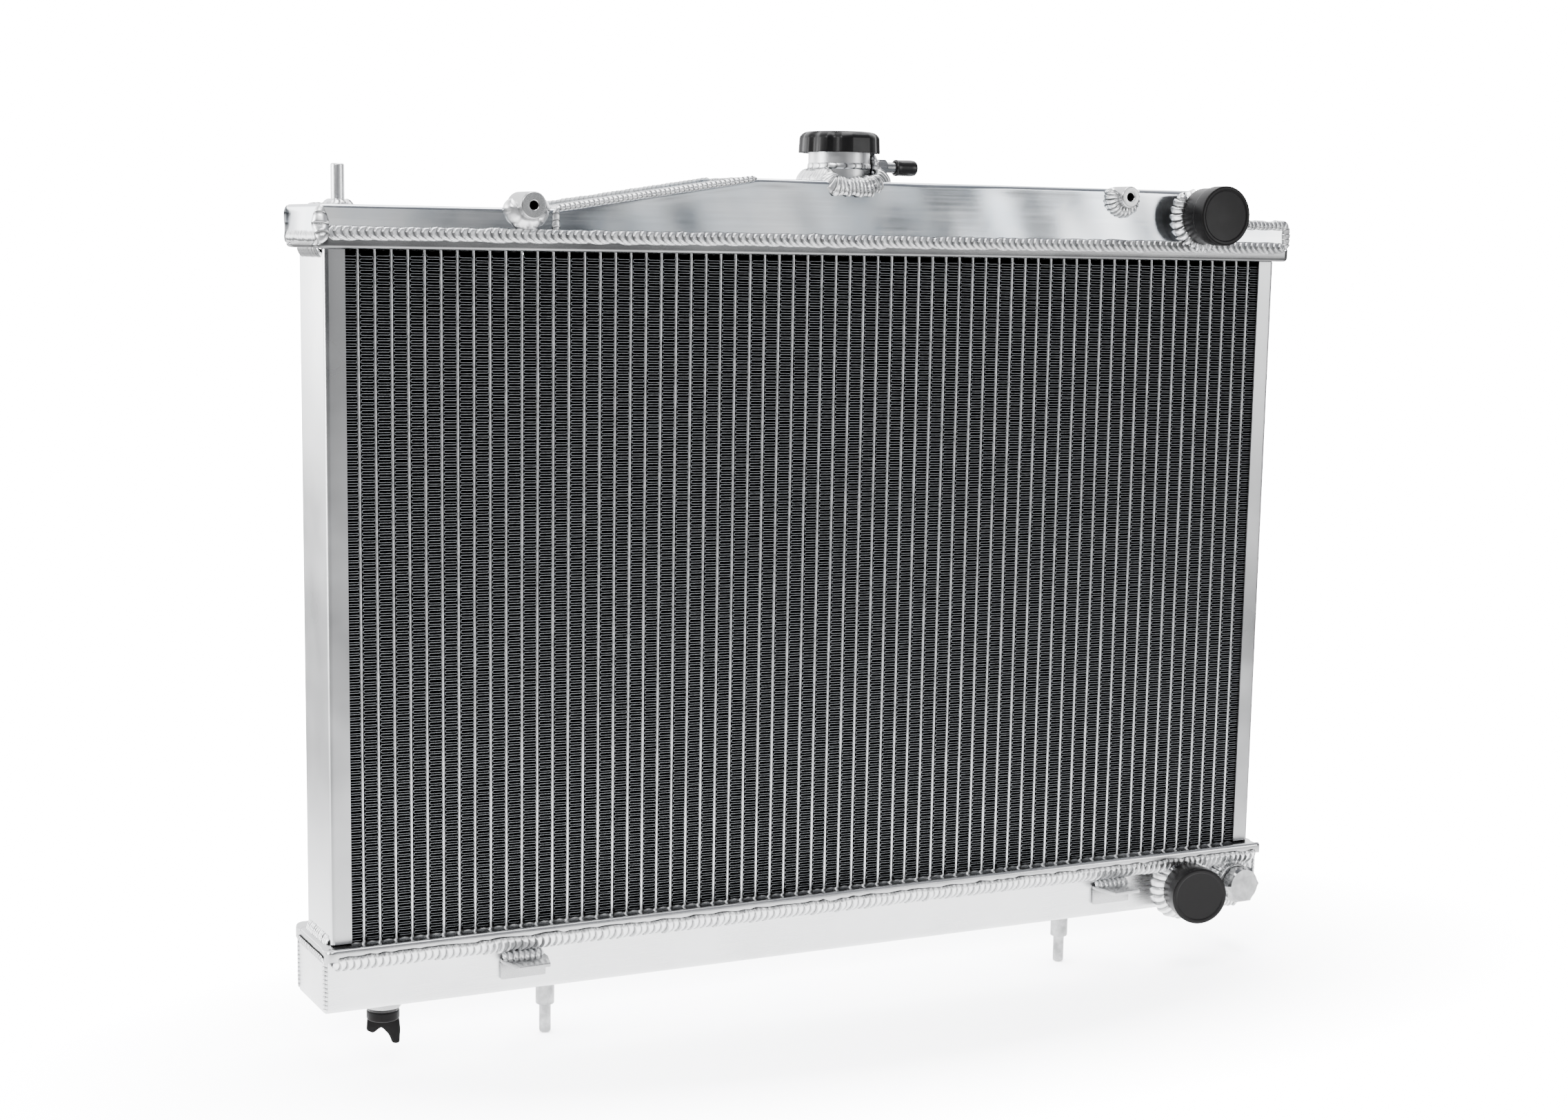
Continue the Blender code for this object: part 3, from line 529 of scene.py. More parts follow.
def fillet_out(centre, direction, lift=1.0):
    """The outward direction of a fillet weld between a plate and a round piece on it."""
    along = Vector(direction).normalized()

    def out(point):
        spoke = point - Vector(centre)
        spoke -= along * spoke.dot(along)
        return spoke.normalized() + along * lift
    return out


def round_weld(name, centre, direction, radius, push, lift, size, curve=0.3, **more):
    """A bead all round a piece on a plate; push sets its path off the plate."""
    weld(name, ring(centre, radius, direction, push=push), fillet_out(centre, direction, lift),
         size, curve, closed=True, **more)


# ---------------- core

def tube_x(index):
    return (index - (TUBE_COUNT - 1) / 2) * PITCH


def make_tubes(name, node):
    """Flat tubes with round noses, a little uneven where the braze has run."""
    low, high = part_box(node)
    arc = np.linspace(-math.pi / 2, math.pi / 2, 7)
    nose = TUBE_HALF * 0.86
    rear = [(nose * math.sin(a), high[1] - nose + nose * math.cos(a)) for a in arc]
    front = [(-nose * math.sin(a), low[1] + nose - nose * math.cos(a)) for a in arc]
    outline = np.array(rear + front)[::-1]
    levels = np.linspace(low[2], high[2], 60)
    verts, quads = [], []
    for index in range(TUBE_COUNT):
        wave = np.interp(levels, levels[::6], RNG.normal(0, 0.05 * MM, len(levels[::6])))
        swell = 1 + 0.09 * RNG.standard_normal(len(levels))
        start = len(verts) * len(outline)
        for z, off, wide in zip(levels, wave, swell):
            ring_points = np.column_stack([outline[:, 0] * wide + tube_x(index) + off,
                                           outline[:, 1], np.full(len(outline), z)])
            verts.append(ring_points)
        quads.append(grid_quads(len(levels), len(outline), wrap_cols=True, start=start))
    mesh = quads_mesh(name, np.concatenate(verts), np.concatenate(quads))
    place(name, mesh, BRAZED, ROOT, (node,))


def make_fins(name, columns, stands_for=()):
    """Corrugated strips: level legs joined by round folds against the tubes.

    Each strip rises to a low ridge halfway through the core, so no one sees straight through.
    """
    legs = 252
    sheet = 0.13 * MM
    reach = PITCH / 2 - TUBE_HALF - 0.05 * MM
    bottom, top = CORE[0][2] + 1.0 * MM, CORE[1][2] - 2.2 * MM
    step = (top - bottom) / legs
    fold = step / 2
    bends = np.radians([-45.0, 0.0, 45.0])
    knots = np.arange(0, legs + 8, 8)
    verts, quads = [], []
    count = 0
    for column in columns:
        mid_x = tube_x(column) - PITCH / 2
        rng = np.random.default_rng(100 + column)
        drift = np.interp(np.arange(legs + 1), knots, rng.normal(0, 0.09 * MM, len(knots)))
        levels = bottom + step * np.arange(legs + 1) + drift
        levels += rng.normal(0, 0.035 * MM, legs + 1)
        path = []
        direction = 1 if column % 2 else -1
        for leg in range(legs):
            z, above = levels[leg], levels[leg + 1]
            half = (above - z) / 2
            sag = 0.14 * MM * direction + rng.normal(0, 0.03 * MM)
            path.append((mid_x - direction * (reach - fold), z + sag))
            path.append((mid_x + direction * (reach - fold) * 0.9, z + sag * 0.5))
            for angle in bends:
                path.append((mid_x + direction * (reach - fold + fold * math.cos(angle)),
                             z + half + half * math.sin(angle)))
            direction = -direction
        path = np.array(path)
        along = np.gradient(path, axis=0)
        along /= np.linalg.norm(along, axis=1)[:, None] + 1e-12
        side = np.column_stack([-along[:, 1], along[:, 0]]) * sheet
        near, far = CORE[0][1], CORE[1][1]
        peak = np.array([0.0, 1.25 * step])
        rails = [(path + side, near), (path - side, near), (path - side + peak, 0.0),
                 (path - side, far), (path + side, far), (path + side + peak, 0.0)]
        block = np.stack([np.column_stack([p[:, 0], np.full(len(p), y), p[:, 1]])
                          for p, y in rails], axis=1)
        verts.append(block.reshape(-1, 3))
        quads.append(grid_quads(len(path), len(rails), wrap_cols=True, start=count))
        count += len(path) * len(rails)
    mesh = quads_mesh(name, np.concatenate(verts), np.concatenate(quads), smooth=False)
    place(name, mesh, FIN, ROOT, stands_for)


def make_header(name, node, face_z, inward, material):
    """A pressed header: round outer rail, shallow valley, floor domed between the tubes.

    inward is +1 where the core is above the header's face, -1 where it is below.
    """
    low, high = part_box(node)
    half_width, half_depth = high[0], high[1]
    wall = high[2] - low[2]
    rail = 2.2 * MM
    arc = [(half_depth - rail + rail * math.cos(a), -rail + rail * math.sin(a))
           for a in np.radians([0, 20, 40, 60, 80, 95, 110, 125])]
    core_half = CORE[1][1]
    inner = [(core_half + 4.5 * MM, -1.5 * MM), (core_half + 2.0 * MM, -1.1 * MM),
             (core_half + 0.2 * MM, -0.5 * MM), (core_half - 1.0 * MM, 0.0),
             (core_half - 8 * MM, 0.0), (0.0, 0.0)]
    outer = [(half_depth, -wall), (half_depth, -wall * 0.7)] + arc + inner
    profile = np.array([(-y, z) for y, z in outer] + outer[::-1][1:])
    floor = np.clip((core_half + 1.0 * MM - np.abs(profile[:, 0])) / (2.5 * MM), 0, 1)
    corner = 5.0 * MM
    domed_to = tube_x(TUBE_COUNT - 1) + 0.8 * PITCH
    tail = half_width - corner + corner * np.sin(np.radians([15, 30, 45, 60, 75, 90]))
    xs = np.r_[-tail[::-1], np.arange(-half_width + corner, half_width - corner, PITCH / 8),
               half_width - corner, tail]
    rows = []
    for x in xs:
        past = max(0.0, abs(x) - (half_width - corner))
        shrink = corner - math.sqrt(max(0.0, corner ** 2 - past ** 2))
        wave = math.cos(2 * math.pi * (x - tube_x(0)) / PITCH)
        dome = floor * 1.2 * MM * (0.5 - 0.5 * wave) * (abs(x) < domed_to)
        y = profile[:, 0] * (1 - shrink / half_depth)
        z = face_z + inward * (profile[:, 1] + dome - shrink * 0.35)
        rows.append(np.column_stack([np.full(len(y), x), y, z]))
    sweep(name, (node,), rows, material, 50)


def make_side_plate(name, node, side):
    low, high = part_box(node)
    outer = side * max(abs(low[0]), abs(high[0]))
    tip = side * min(abs(low[0]), abs(high[0]))
    depth = high[1]
    sheet = 1.2 * MM
    outside = [(tip, -depth), (outer, -depth), (outer, depth), (tip, depth)]
    inside = [(tip, depth - sheet), (outer - side * sheet, depth - sheet),
              (outer - side * sheet, -depth + sheet), (tip, -depth + sheet)]
    outline = soften(outside, 3.0 * MM, 6) + soften(inside, 1.8 * MM, 4)
    levels = np.linspace(low[2], high[2], 12)
    verts = [(x, y, z) for z in levels for x, y in outline]
    mesh = quads_mesh(name, verts, grid_quads(len(levels), len(outline), wrap_cols=True))
    face_outward(mesh)
    place(name, mesh, PLATE, ROOT, (node,), 50)
    x = outer + side * 0.8 * MM
    for level, tilt, label in ((high[2], -1, "top"), (low[2], 1, "low")):
        z = level + tilt * 1.5 * MM
        weld(f"{name}_weld_{label}", [(x, -depth + 4 * MM, z), (x, depth - 5 * MM, z)],
             (side, 0, tilt * 0.5), (8.5, 1.6, 3.0), 0.35, depth=0.35, seed=31 + tilt)


# ---------------- tanks

def shell_profile(depth, base, top, radius, steps=6):
    """Half-round-cornered hood in (y, z): up the front, over the top, down the back."""
    corner = [(radius * (1 - math.cos(a)), radius * (1 - math.sin(a)))
              for a in np.linspace(0, math.pi / 2, steps + 1)]
    front = [(-depth + dy, top - dz) for dy, dz in corner]
    back = [(depth - dy, top - dz) for dy, dz in corner[::-1]]
    rise = [(-depth, base + (top - radius - base) * t) for t in np.linspace(0, 0.96, 8)]
    flat = [(y, top) for y in np.linspace(-depth + radius, depth - radius, 10)[1:-1]]
    fall = [(-y, z) for y, z in rise[::-1]]
    return np.array(rise + front + flat + back + fall)


def pressed(depth, base, top, amount, unevenness, waves, phase=0.0):
    """A dent for make_shell: the front and back sink in between their base and their top."""
    def press(x, y, z):
        side = np.sign(y) * (np.abs(y) > depth - 1.0 * MM)
        level = np.clip((z - base) / (top - base), 0, 1)
        return -side * amount * np.sin(level * math.pi) * (
            1 + unevenness * math.sin(x * waves + phase))
    return press


def make_shell(name, nodes, xs, profile_at, press, material=POLISHED):
    """A closed sheet hood swept along X; press moves points of the front and back."""
    rows = []
    for x in xs:
        profile = profile_at(x)
        points = np.column_stack([np.full(len(profile), x), profile[:, 0], profile[:, 1]])
        points[:, 1] += press(x, points[:, 1], points[:, 2])
        rows.append(points)
    sweep(name, nodes, rows, material, 40)


def raised_top(x):
    start, end = RAMP[0][0], RAMP[1][0]
    low, high = LEFT_LOW[1][2], RAISED[1][2]
    t = min(1.0, max(0.0, (x - start) / (end - start)))
    return low + (high - low) * t


def face_dents(x, y, z):
    """Slow hand-made waves of the tall front and back, and the pull under the neck weld."""
    side = np.sign(y) * (np.abs(y) > RAISED[1][1] - 1.5 * MM)
    body = np.clip((z - RAISED[0][2]) / (8 * MM), 0, 1) * np.clip((raised_top(x) - z) / (5 * MM), 0, 1)
    waves = 0.45 * MM * math.sin(x * 27 + 0.6) + 0.16 * MM * math.sin(x * 74 + 2.0)
    waves = waves + 0.05 * MM * np.sin(x * 150 + z * 90)
    near_neck = math.exp(-((x - NECK_X - 6 * MM) / (22 * MM)) ** 2)
    pull = near_neck * 0.9 * MM * np.exp(-((z - RAISED[1][2] + 6 * MM) / (9 * MM)) ** 2)
    bow = 0.35 * MM * np.sin((z - RAISED[0][2]) / (RAISED[1][2] - RAISED[0][2]) * math.pi)
    return side * body * (waves - pull - bow)


def rounded_run(start, end, start_radius, end_radius, count):
    """Sections along X, closer together where an end is rounded off."""
    middle_run = np.linspace(start + start_radius, end - end_radius, count)
    turn = np.radians([0, 20, 40, 60, 80])
    head = start + start_radius * (1 - np.cos(turn)) if start_radius else []
    tail = end - end_radius * (1 - np.cos(turn[::-1])) if end_radius else []
    return np.r_[head, middle_run, tail]


def rounded_end(profile, base, radius, *ends):
    """The section, drawn in towards its base over the last stretch before each rounded end."""
    centre = np.array([0.0, base])

    def at(x):
        gap = min(abs(x - end) for end in ends)
        if gap >= radius:
            return profile
        draw = radius - math.sqrt(max(0.0, radius ** 2 - (radius - gap) ** 2))
        size = np.abs(profile - centre).max(axis=0)
        return centre + (profile - centre) * (1 - draw / size)
    return at


def make_top_tank():
    depth, base, top = RAISED[1][1], RAISED[0][2], LEFT_LOW[1][2]
    start, end = RAISED[0][0], RAISED[1][0]
    make_shell("raised_tank_hood", ("top_tank_raised_section", "top_tank_ramp_plate",
                                    "top_tank_step_plate"), np.linspace(start, end, 240),
               lambda x: shell_profile(depth, base, raised_top(x), 3.0 * MM), face_dents)
    low_profile = shell_profile(depth, base, top, 2.4 * MM)
    dents = pressed(depth, base, top, 0.3 * MM, 0.4, 47)
    radius = 2.2 * MM
    left_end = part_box("top_tank_left_end")[0][0]
    right_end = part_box("top_tank_right_end")[1][0]
    make_shell("left_tank_hood", ("top_tank_left_section", "top_tank_left_end"),
               rounded_run(left_end, start, radius, 0.0, 60),
               rounded_end(low_profile, base, radius, left_end), dents)
    make_shell("right_tank_hood", ("top_tank_right_section", "top_tank_right_end"),
               rounded_run(end, right_end, 0.0, radius, 24),
               rounded_end(low_profile, base, radius, right_end), dents)


def make_bottom_tank():
    depth, rim = BOTTOM[1][1], BOTTOM[1][2]
    profile = shell_profile(depth, -rim, 0.0, 2.6 * MM) * (1, -1)
    radius = 1.6 * MM
    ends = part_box("bottom_tank_left_end")[0][0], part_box("bottom_tank_right_end")[1][0]
    make_shell("bottom_tank_trough", ("bottom_tank_channel", "bottom_tank_left_end",
                                      "bottom_tank_right_end"),
               rounded_run(*ends, radius, radius, 160), rounded_end(profile, rim, radius, *ends),
               pressed(depth, 0.0, rim, 0.25 * MM, 0.5, 23, 1), SATIN)


# ---------------- neck, cap and overflow

def make_neck():
    low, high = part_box("filler_neck")
    base, top = RAISED[1][2], high[2]
    axis = (NECK_X, NECK_Y, 0.0)
    radius, bore = 19.5 * MM, 17.5 * MM
    flange = (high[1] - low[1]) / 2
    profile = soften([(bore, base - 1 * MM), (bore, top - 0.8 * MM), (bore + 1.6 * MM, top),
                      (flange, top), (flange, top - 2 * MM), (radius, top - 2.2 * MM),
                      (radius, base - 1 * MM)], 0.5 * MM)
    seat = soften(mm((17.5, 500), (13, 500), (13, 502), (17.5, 502)), 0.3 * MM)
    notch = math.radians(21)

    def notched(r, height, angle):
        if r <= radius + 0.1 * MM or height < top - 2.1 * MM:
            return r
        off = abs((angle + math.pi / 2) % math.pi - math.pi / 2)
        return min(r, radius + 0.2 * MM) if off < notch else r

    lathe("filler_neck_turned", ("filler_neck",), profile, axis, UP, TURNED, 120, notched)
    lathe("filler_neck_seat", (), seat, axis, UP, MACHINED)
    centre = Vector((NECK_X, NECK_Y, base))
    front = RAISED[1][1]
    bead = []
    for angle in np.radians(np.arange(0, 360, 3)):
        across, along = math.cos(angle), math.sin(angle)
        power = 0.62 if along < 0 else 1.0
        reach = front + NECK_Y + 0.6 * MM if along < 0 else radius + 3.0 * MM
        x = NECK_X + math.copysign(abs(across) ** power, across) * (radius + 3.4 * MM)
        y = NECK_Y + math.copysign(abs(along) ** power, along) * reach
        past = max(0.0, -y - front + 8 * MM)
        bead.append((x - past * 0.8, y, base + 2.6 * MM - past * 0.7))

    def neck_out(point):
        spoke = point - centre
        spoke.z = 0.0
        over = min(1.0, max(0.0, (-point.y - 27 * MM) / (8 * MM)))
        return spoke.normalized() * (1 - 0.7 * over) + Vector((0, -over, 0.75 - 0.35 * over))

    weld("neck_weld", bead, neck_out, (12.5, 3.4, 2.6), 0.45, closed=True, depth=0.35, dark=0.8,
         seed=5, across=15, wander=0.10)
    round_weld("neck_weld_upper", centre, UP, radius + 0.1 * MM, 9.6 * MM, 0.1, (4.0, 0.5, 6.0),
               depth=0.1, seed=6)
    boss = (NECK_X + radius + 4.0 * MM, NECK_Y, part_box("overflow_boss")[0][2] + 6 * MM)
    round_weld("overflow_boss_weld", boss, RIGHT, 6.6 * MM, -1.0 * MM, 0.5, (6.0, 2.0, 2.6),
               depth=0.3, seed=9)


def flute_radius(angle, radius):
    """The grip's outline: shallow flutes between lobes, and a flat tab on each side."""
    toward = math.radians(-118)
    turn = (math.degrees(angle - toward) + 90.0) % 180.0 - 90.0
    if abs(turn - 33.5) < 17.0:
        return min(radius, radius * 0.968 / math.cos(math.radians(turn - 33.5)))
    cut = 0.0
    for centre in (-72.0, -40.0, -8.0, 74.0):
        cut = max(cut, math.cos(min(1.0, abs(turn - centre) / 11.0) * math.pi / 2))
    return radius - 1.7 * MM * cut ** 1.5


def make_cap():
    low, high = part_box("cap_shell")
    radius = (high[1] - low[1]) / 2
    bottom, top = low[2], high[2]
    outer = soften([(radius - 1.5 * MM, bottom + 0.2 * MM), (radius, bottom),
                    (radius, bottom + 1.0 * MM), (radius - 0.5 * MM, top - 3.2 * MM),
                    (radius - 3.6 * MM, top - 0.5 * MM), (radius - 9 * MM, top),
                    (0.0, top - 0.2 * MM)], 3.0 * MM, 8)
    inner = [(0.0, top - 4.6 * MM), (radius - 2.1 * MM, top - 4.6 * MM),
             (radius - 2.1 * MM, bottom + 0.2 * MM)]

    def fluted(r, height, angle):
        if r < radius * 0.5 or r < radius - 2.0 * MM and height < top - 4.0 * MM:
            return r
        strength = min(1.0, max(0.0, (r - radius * 0.80) / (radius * 0.12)))
        return r - (radius - flute_radius(angle, radius)) * strength

    lathe("cap_grip", ("cap_shell",), inner + outer, (NECK_X, NECK_Y, 0), UP, GRIP, 240, fluted,
          50, "cap_grip")


def make_spring(node, wire, turns, body):
    """A compression spring about the cap's axis, carried on the given body, with a mesh of its own."""
    low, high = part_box(node)
    radius = (high[0] - low[0]) / 2 - wire
    steps = int(turns * 32)
    round_wire = np.radians(np.arange(0, 360, 36))
    rise = high[2] - low[2] - 2 * wire
    verts = []
    for step in range(steps + 1):
        angle = 2 * math.pi * turns * step / steps
        for turn in round_wire:
            reach = radius + wire * math.cos(turn)
            verts.append((NECK_X + reach * math.cos(angle), NECK_Y + reach * math.sin(angle),
                          low[2] + wire * (1 + math.sin(turn)) + rise * step / steps))
    mesh = quads_mesh(node, verts, grid_quads(steps + 1, len(round_wire), wrap_cols=True))
    face_outward(mesh, loops=(0, steps * len(round_wire)), count=len(round_wire))
    item = place(f"{node}_wire", mesh, STEEL, body, (node,))
    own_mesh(item)


def make_overflow():
    """The boss, hexagon, spout and rubber cap; heights are measured from the neck's axis."""
    origin = (NECK_X, NECK_Y, middle("overflow_fitting")[2])
    boss = soften(mm((6.4, 15), (6.2, 22), (5.9, 26), (3.6, 26.2), (3.4, 20)), 1.0 * MM)
    lathe("overflow_boss_turned", ("overflow_boss",), boss, origin, RIGHT, WELD)
    flat = 9.8 * MM
    corner = flat / 2 / math.cos(math.pi / 6)
    nut = [(3.2 * MM, 26.3 * MM), (flat / 2, 26.4 * MM), (corner, 27.2 * MM),
           (corner, 32.2 * MM), (flat / 2, 33.0 * MM), (3.4 * MM, 33.0 * MM)]
    lathe("overflow_hexagon", ("overflow_fitting",), nut, origin, RIGHT, MACHINED, 120,
          hexagon(flat), 25)
    spout = soften(mm((3.4, 32.8), (3.4, 51.4), (2.9, 52), (2.1, 52), (2, 45)), 0.3 * MM)
    lathe("overflow_spout", (), spout, origin, RIGHT, MACHINED)
    rubber = soften(mm((3.7, 53), (3.7, 40.4), (4.6, 40), (5.3, 40.8), (5, 43), (5.15, 52),
                       (4.6, 55.4), (0, 56)), 1.4 * MM, 6)
    lathe("overflow_rubber_cap", ("overflow_dust_cap",), rubber, origin, RIGHT, RUBBER,
          body="overflow_cap")


# ---------------- hose ports

SWING = math.radians(15)
PORTS = {                    # origin, direction, and where the stub and its dust cap start
    "upper": (Vector((0.266, RAISED[0][1], 0.4785)), Vector(FORWARD), 0.0, 4.0),
    "lower": (Vector((0.2775, BOTTOM[0][1] - 4.5 * MM, 0.0146)),
              Vector((-math.sin(SWING), -math.cos(SWING), 0)), -8.0, 6.0),
}


def make_port(which):
    origin, along, start, cap_start = PORTS[which]
    pipe = soften(mm((13.5, start), (13.5, 26.2), (16, 26.2), (17, 24.6), (17, 22.8),
                     (16, 20.7), (16, start)), 0.6 * MM)
    lathe(f"{which}_hose_stub", (f"{which}_hose_port",), pipe, origin, along, MACHINED, 96)
    cup = soften(mm((0, 26.5), (17.3, 26.5), (17.3, cap_start), (18.4, cap_start), (18.4, 16.3),
                    (19.5, 17.7), (19.5, 27.5), (18.5, 27.9), (16.9, 27.8), (16.3, 27.4),
                    (0, 27.3)), 0.5 * MM)
    lathe(f"{which}_port_cup", (f"{which}_port_dust_cap",), cup, origin, along, VINYL, 96,
          body=f"{which}_dust_cap")


def make_port_welds():
    port = PORTS["upper"][0]
    wall = (port.x, RAISED[0][1], port.z)
    under_edge = RAISED[1][2] - 4.0 * MM
    path = [(x, y, min(z, under_edge)) for x, y, z in ring(wall, 20.5 * MM, FORWARD, push=1.4 * MM)]
    weld("upper_port_weld", path, fillet_out(wall, FORWARD, 0.9), (10.0, 3.6, 4.6), 0.35,
         closed=True, depth=0.6, seed=11, wander=0.2)
    port = PORTS["lower"][0]
    wall = (port.x - 0.5 * MM, BOTTOM[0][1], port.z)
    round_weld("lower_port_weld", wall, FORWARD, 19.4 * MM, 1.6 * MM, 0.8, (12.5, 4.4, 4.8),
               depth=0.35, seed=12, wander=0.16, dark=0.7)


# ---------------- fastening pieces

def make_boss(side, first, last, size, depth, seed, dark):
    """A tapped shroud boss, with a weld round it from the first to the last angle."""
    node = f"shroud_boss_{side}"
    low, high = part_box(node)
    x, _, z = middle(node)
    centre, wall = (x, low[1], z), (x, RAISED[0][1], z)
    radius, length = (high[0] - low[0]) / 2, high[1] - low[1]
    profile = soften([(0.0, -9 * MM), (2.6 * MM, -9 * MM), (2.6 * MM, -0.5 * MM),
                      (3.1 * MM, 0.0), (radius - 0.7 * MM, 0.0), (radius, -0.7 * MM),
                      (radius, -length), (0.0, -length)], 0.25 * MM)
    lathe(f"{side}_shroud_boss", (node,), profile, centre, FORWARD, MACHINED, 72)
    arc = ring(wall, radius + 2.6 * MM, FORWARD, first, last, 60, push=1.6 * MM)
    weld(f"{side}_boss_weld", arc, fillet_out(wall, FORWARD, 0.8), size, depth=depth, seed=seed,
         dark=dark)
    # painted shade: the bore's thread is a near-black sleeve
    thread = mm((0, -8.9), (2.55, -8.9), *((2.58 - 0.08 * (turn % 2), -8.4 + 0.5 * turn)
                                           for turn in range(17)))
    lathe(f"{side}_boss_thread", (), thread, centre, FORWARD, BORE_SHADE, 32)


def make_bracket(side, seed):
    node = f"shroud_bracket_{side}"
    low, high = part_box(node)
    x = middle(node)[0]
    half = (high[0] - low[0]) / 2
    front, back, top = low[1], high[1], high[2]
    thick = 2.5 * MM
    outline = [(-half, back), (half, back), (half, back - 6 * MM), (half * 0.7, front),
               (-half * 0.7, front), (-half, back - 6 * MM)]
    shelf = prism_mesh(f"{side}_bracket_shelf", outline,
                       lambda u, v, w: (x + u, v, top - thick + w), thick)
    bevel(place(f"{side}_bracket_shelf", shelf, MACHINED, ROOT, (node,)), 0.5 * MM)
    leg = [(back, low[2]), (back, top - thick), (back - thick, top - thick),
           (back - thick, low[2])]
    upright = prism_mesh(f"{side}_bracket_leg", leg, lambda u, v, w: (x - half + w, u, v),
                         2 * half)
    bevel(place(f"{side}_bracket_leg", upright, MACHINED, ROOT, ()), 0.5 * MM)
    y, z = back - 1.5 * MM, top + 1.2 * MM
    weld(f"{side}_bracket_weld", [(x - half + 1 * MM, y, z), (x + half - 1 * MM, y, z)],
         (0, -0.7, 0.8), (8.5, 3.0, 3.6), 0.4, depth=0.5, seed=seed, dark=0.5)


def make_lower_pin(side):
    node = f"lower_locating_pin_{side}"
    low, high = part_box(node)
    x, y, _ = middle(node)
    shoulder, step, pin = (high[0] - low[0]) / 2, -18.3 * MM, 3.7 * MM
    profile = soften([(0.0, 0.5 * MM), (shoulder, 0.5 * MM), (shoulder, step + 0.5 * MM),
                      (shoulder - 0.5 * MM, step), (pin, step), (pin, low[2] + 1 * MM),
                      (pin - 1 * MM, low[2]), (0.0, low[2])], 0.3 * MM)
    lathe(f"{side}_pin", (node,), profile, (x, y, 0), UP, ROD, 48)
    round_weld(f"{side}_pin_weld", (x, y, 0), DOWN, shoulder + 1.4 * MM, 0.5 * MM, 1.0,
               (4.4, 1.0, 2.4), seed=51)


def make_upper_rod():
    node = "upper_locating_rod"
    low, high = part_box(node)
    x, y, _ = middle(node)
    radius, foot = (high[0] - low[0]) / 2, low[2] - 1 * MM
    profile = soften([(0.0, high[2]), (radius - 0.7 * MM, high[2]), (radius, high[2] - 0.7 * MM),
                      (radius, foot), (0.0, foot)], 0.3 * MM)
    lathe("upper_rod", (node,), profile, (x, y, 0), UP, SATIN, 48)
    z = LEFT_LOW[1][2]
    round_weld("upper_rod_weld", (x, y, z), UP, radius + 2.6 * MM, 0.6 * MM, 1.0,
               (7.0, 1.8, 2.8), 0.4, seed=52)
    weld("upper_rod_plate_weld", [(x - 17 * MM, y, z), (x - 8 * MM, y, z)], UP, (16, 1.2, 2.6),
         0.5, seed=53)


def make_drain():
    x, y, _ = middle("drain_boss")
    bung = soften(mm((6.8, 0), (6.8, -6.5), (10.6, -6.5), (11, -6), (11, 0)), 0.3 * MM)
    lathe("drain_bung", ("drain_boss",), bung, (x, y, 0), UP, MACHINED)
    round_weld("drain_bung_weld", (x, y, 0), DOWN, 12.2 * MM, 0.6 * MM, 1.0, (5.0, 1.3, 3.0),
               seed=54)
    collar = soften(mm((0, 7), (6.4, 7), (6.4, -8.6), (9.6, -8.6), (10, -9.2), (10, -13.6),
                       (9.2, -14.5), (0, -14.5)), 0.5 * MM)
    lathe("drain_collar", ("drain_cock",), collar, (x, y, 0), UP, NYLON, body="drain_cock")
    turn = math.radians(-20)
    half = 1.9 * MM
    outline = soften(mm((-9.5, -13), (-10.2, -21.5), (-6, -23.5), (-1, -19.5), (3.5, -24.5),
                        (5.5, -30), (9.8, -30), (10.4, -21.5), (9.5, -13)), 1.6 * MM)

    def on_wing(u, v, w):
        w = w - half
        return (x + u * math.cos(turn) - w * math.sin(turn),
                y + u * math.sin(turn) + w * math.cos(turn), v)
    wing = prism_mesh("drain_wing", outline, on_wing, 2 * half)
    bevel(place("drain_wing", wing, NYLON, "drain_cock", ()), 0.7 * MM)


def make_plug():
    x, _, z = middle("hex_plug")
    origin = (x, BOTTOM[0][1], z)
    boss = soften(mm((7.2, 0), (7.2, 8.2), (12.6, 8.5), (13.4, 7.6), (13.6, 0)), 0.8 * MM)
    lathe("plug_boss_turned", ("plug_boss",), boss, origin, FORWARD, MACHINED, 72)
    round_weld("plug_boss_weld", origin, FORWARD, 15.4 * MM, 1.4 * MM, 0.8, (9.0, 3.4, 3.0),
               0.35, seed=61)
    flat = 23.6 * MM
    half = flat / 2
    corner = half / math.cos(math.pi / 6)
    back, front = 10.3 * MM, BOTTOM[0][1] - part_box("hex_plug")[0][1]
    chamfer = (corner - half * 0.97) * 0.6
    profile = [(6.8 * MM, back - 0.1 * MM), (half * 0.97, back), (corner, back + chamfer),
               (corner, front - chamfer), (half * 0.96, front), (half * 0.5, front - 0.1 * MM),
               (0.0, front - 0.1 * MM)]
    lathe("hex_plug_head", ("hex_plug",), profile, origin, FORWARD, ROD, 180, hexagon(flat), 25)


# ---------------- seams

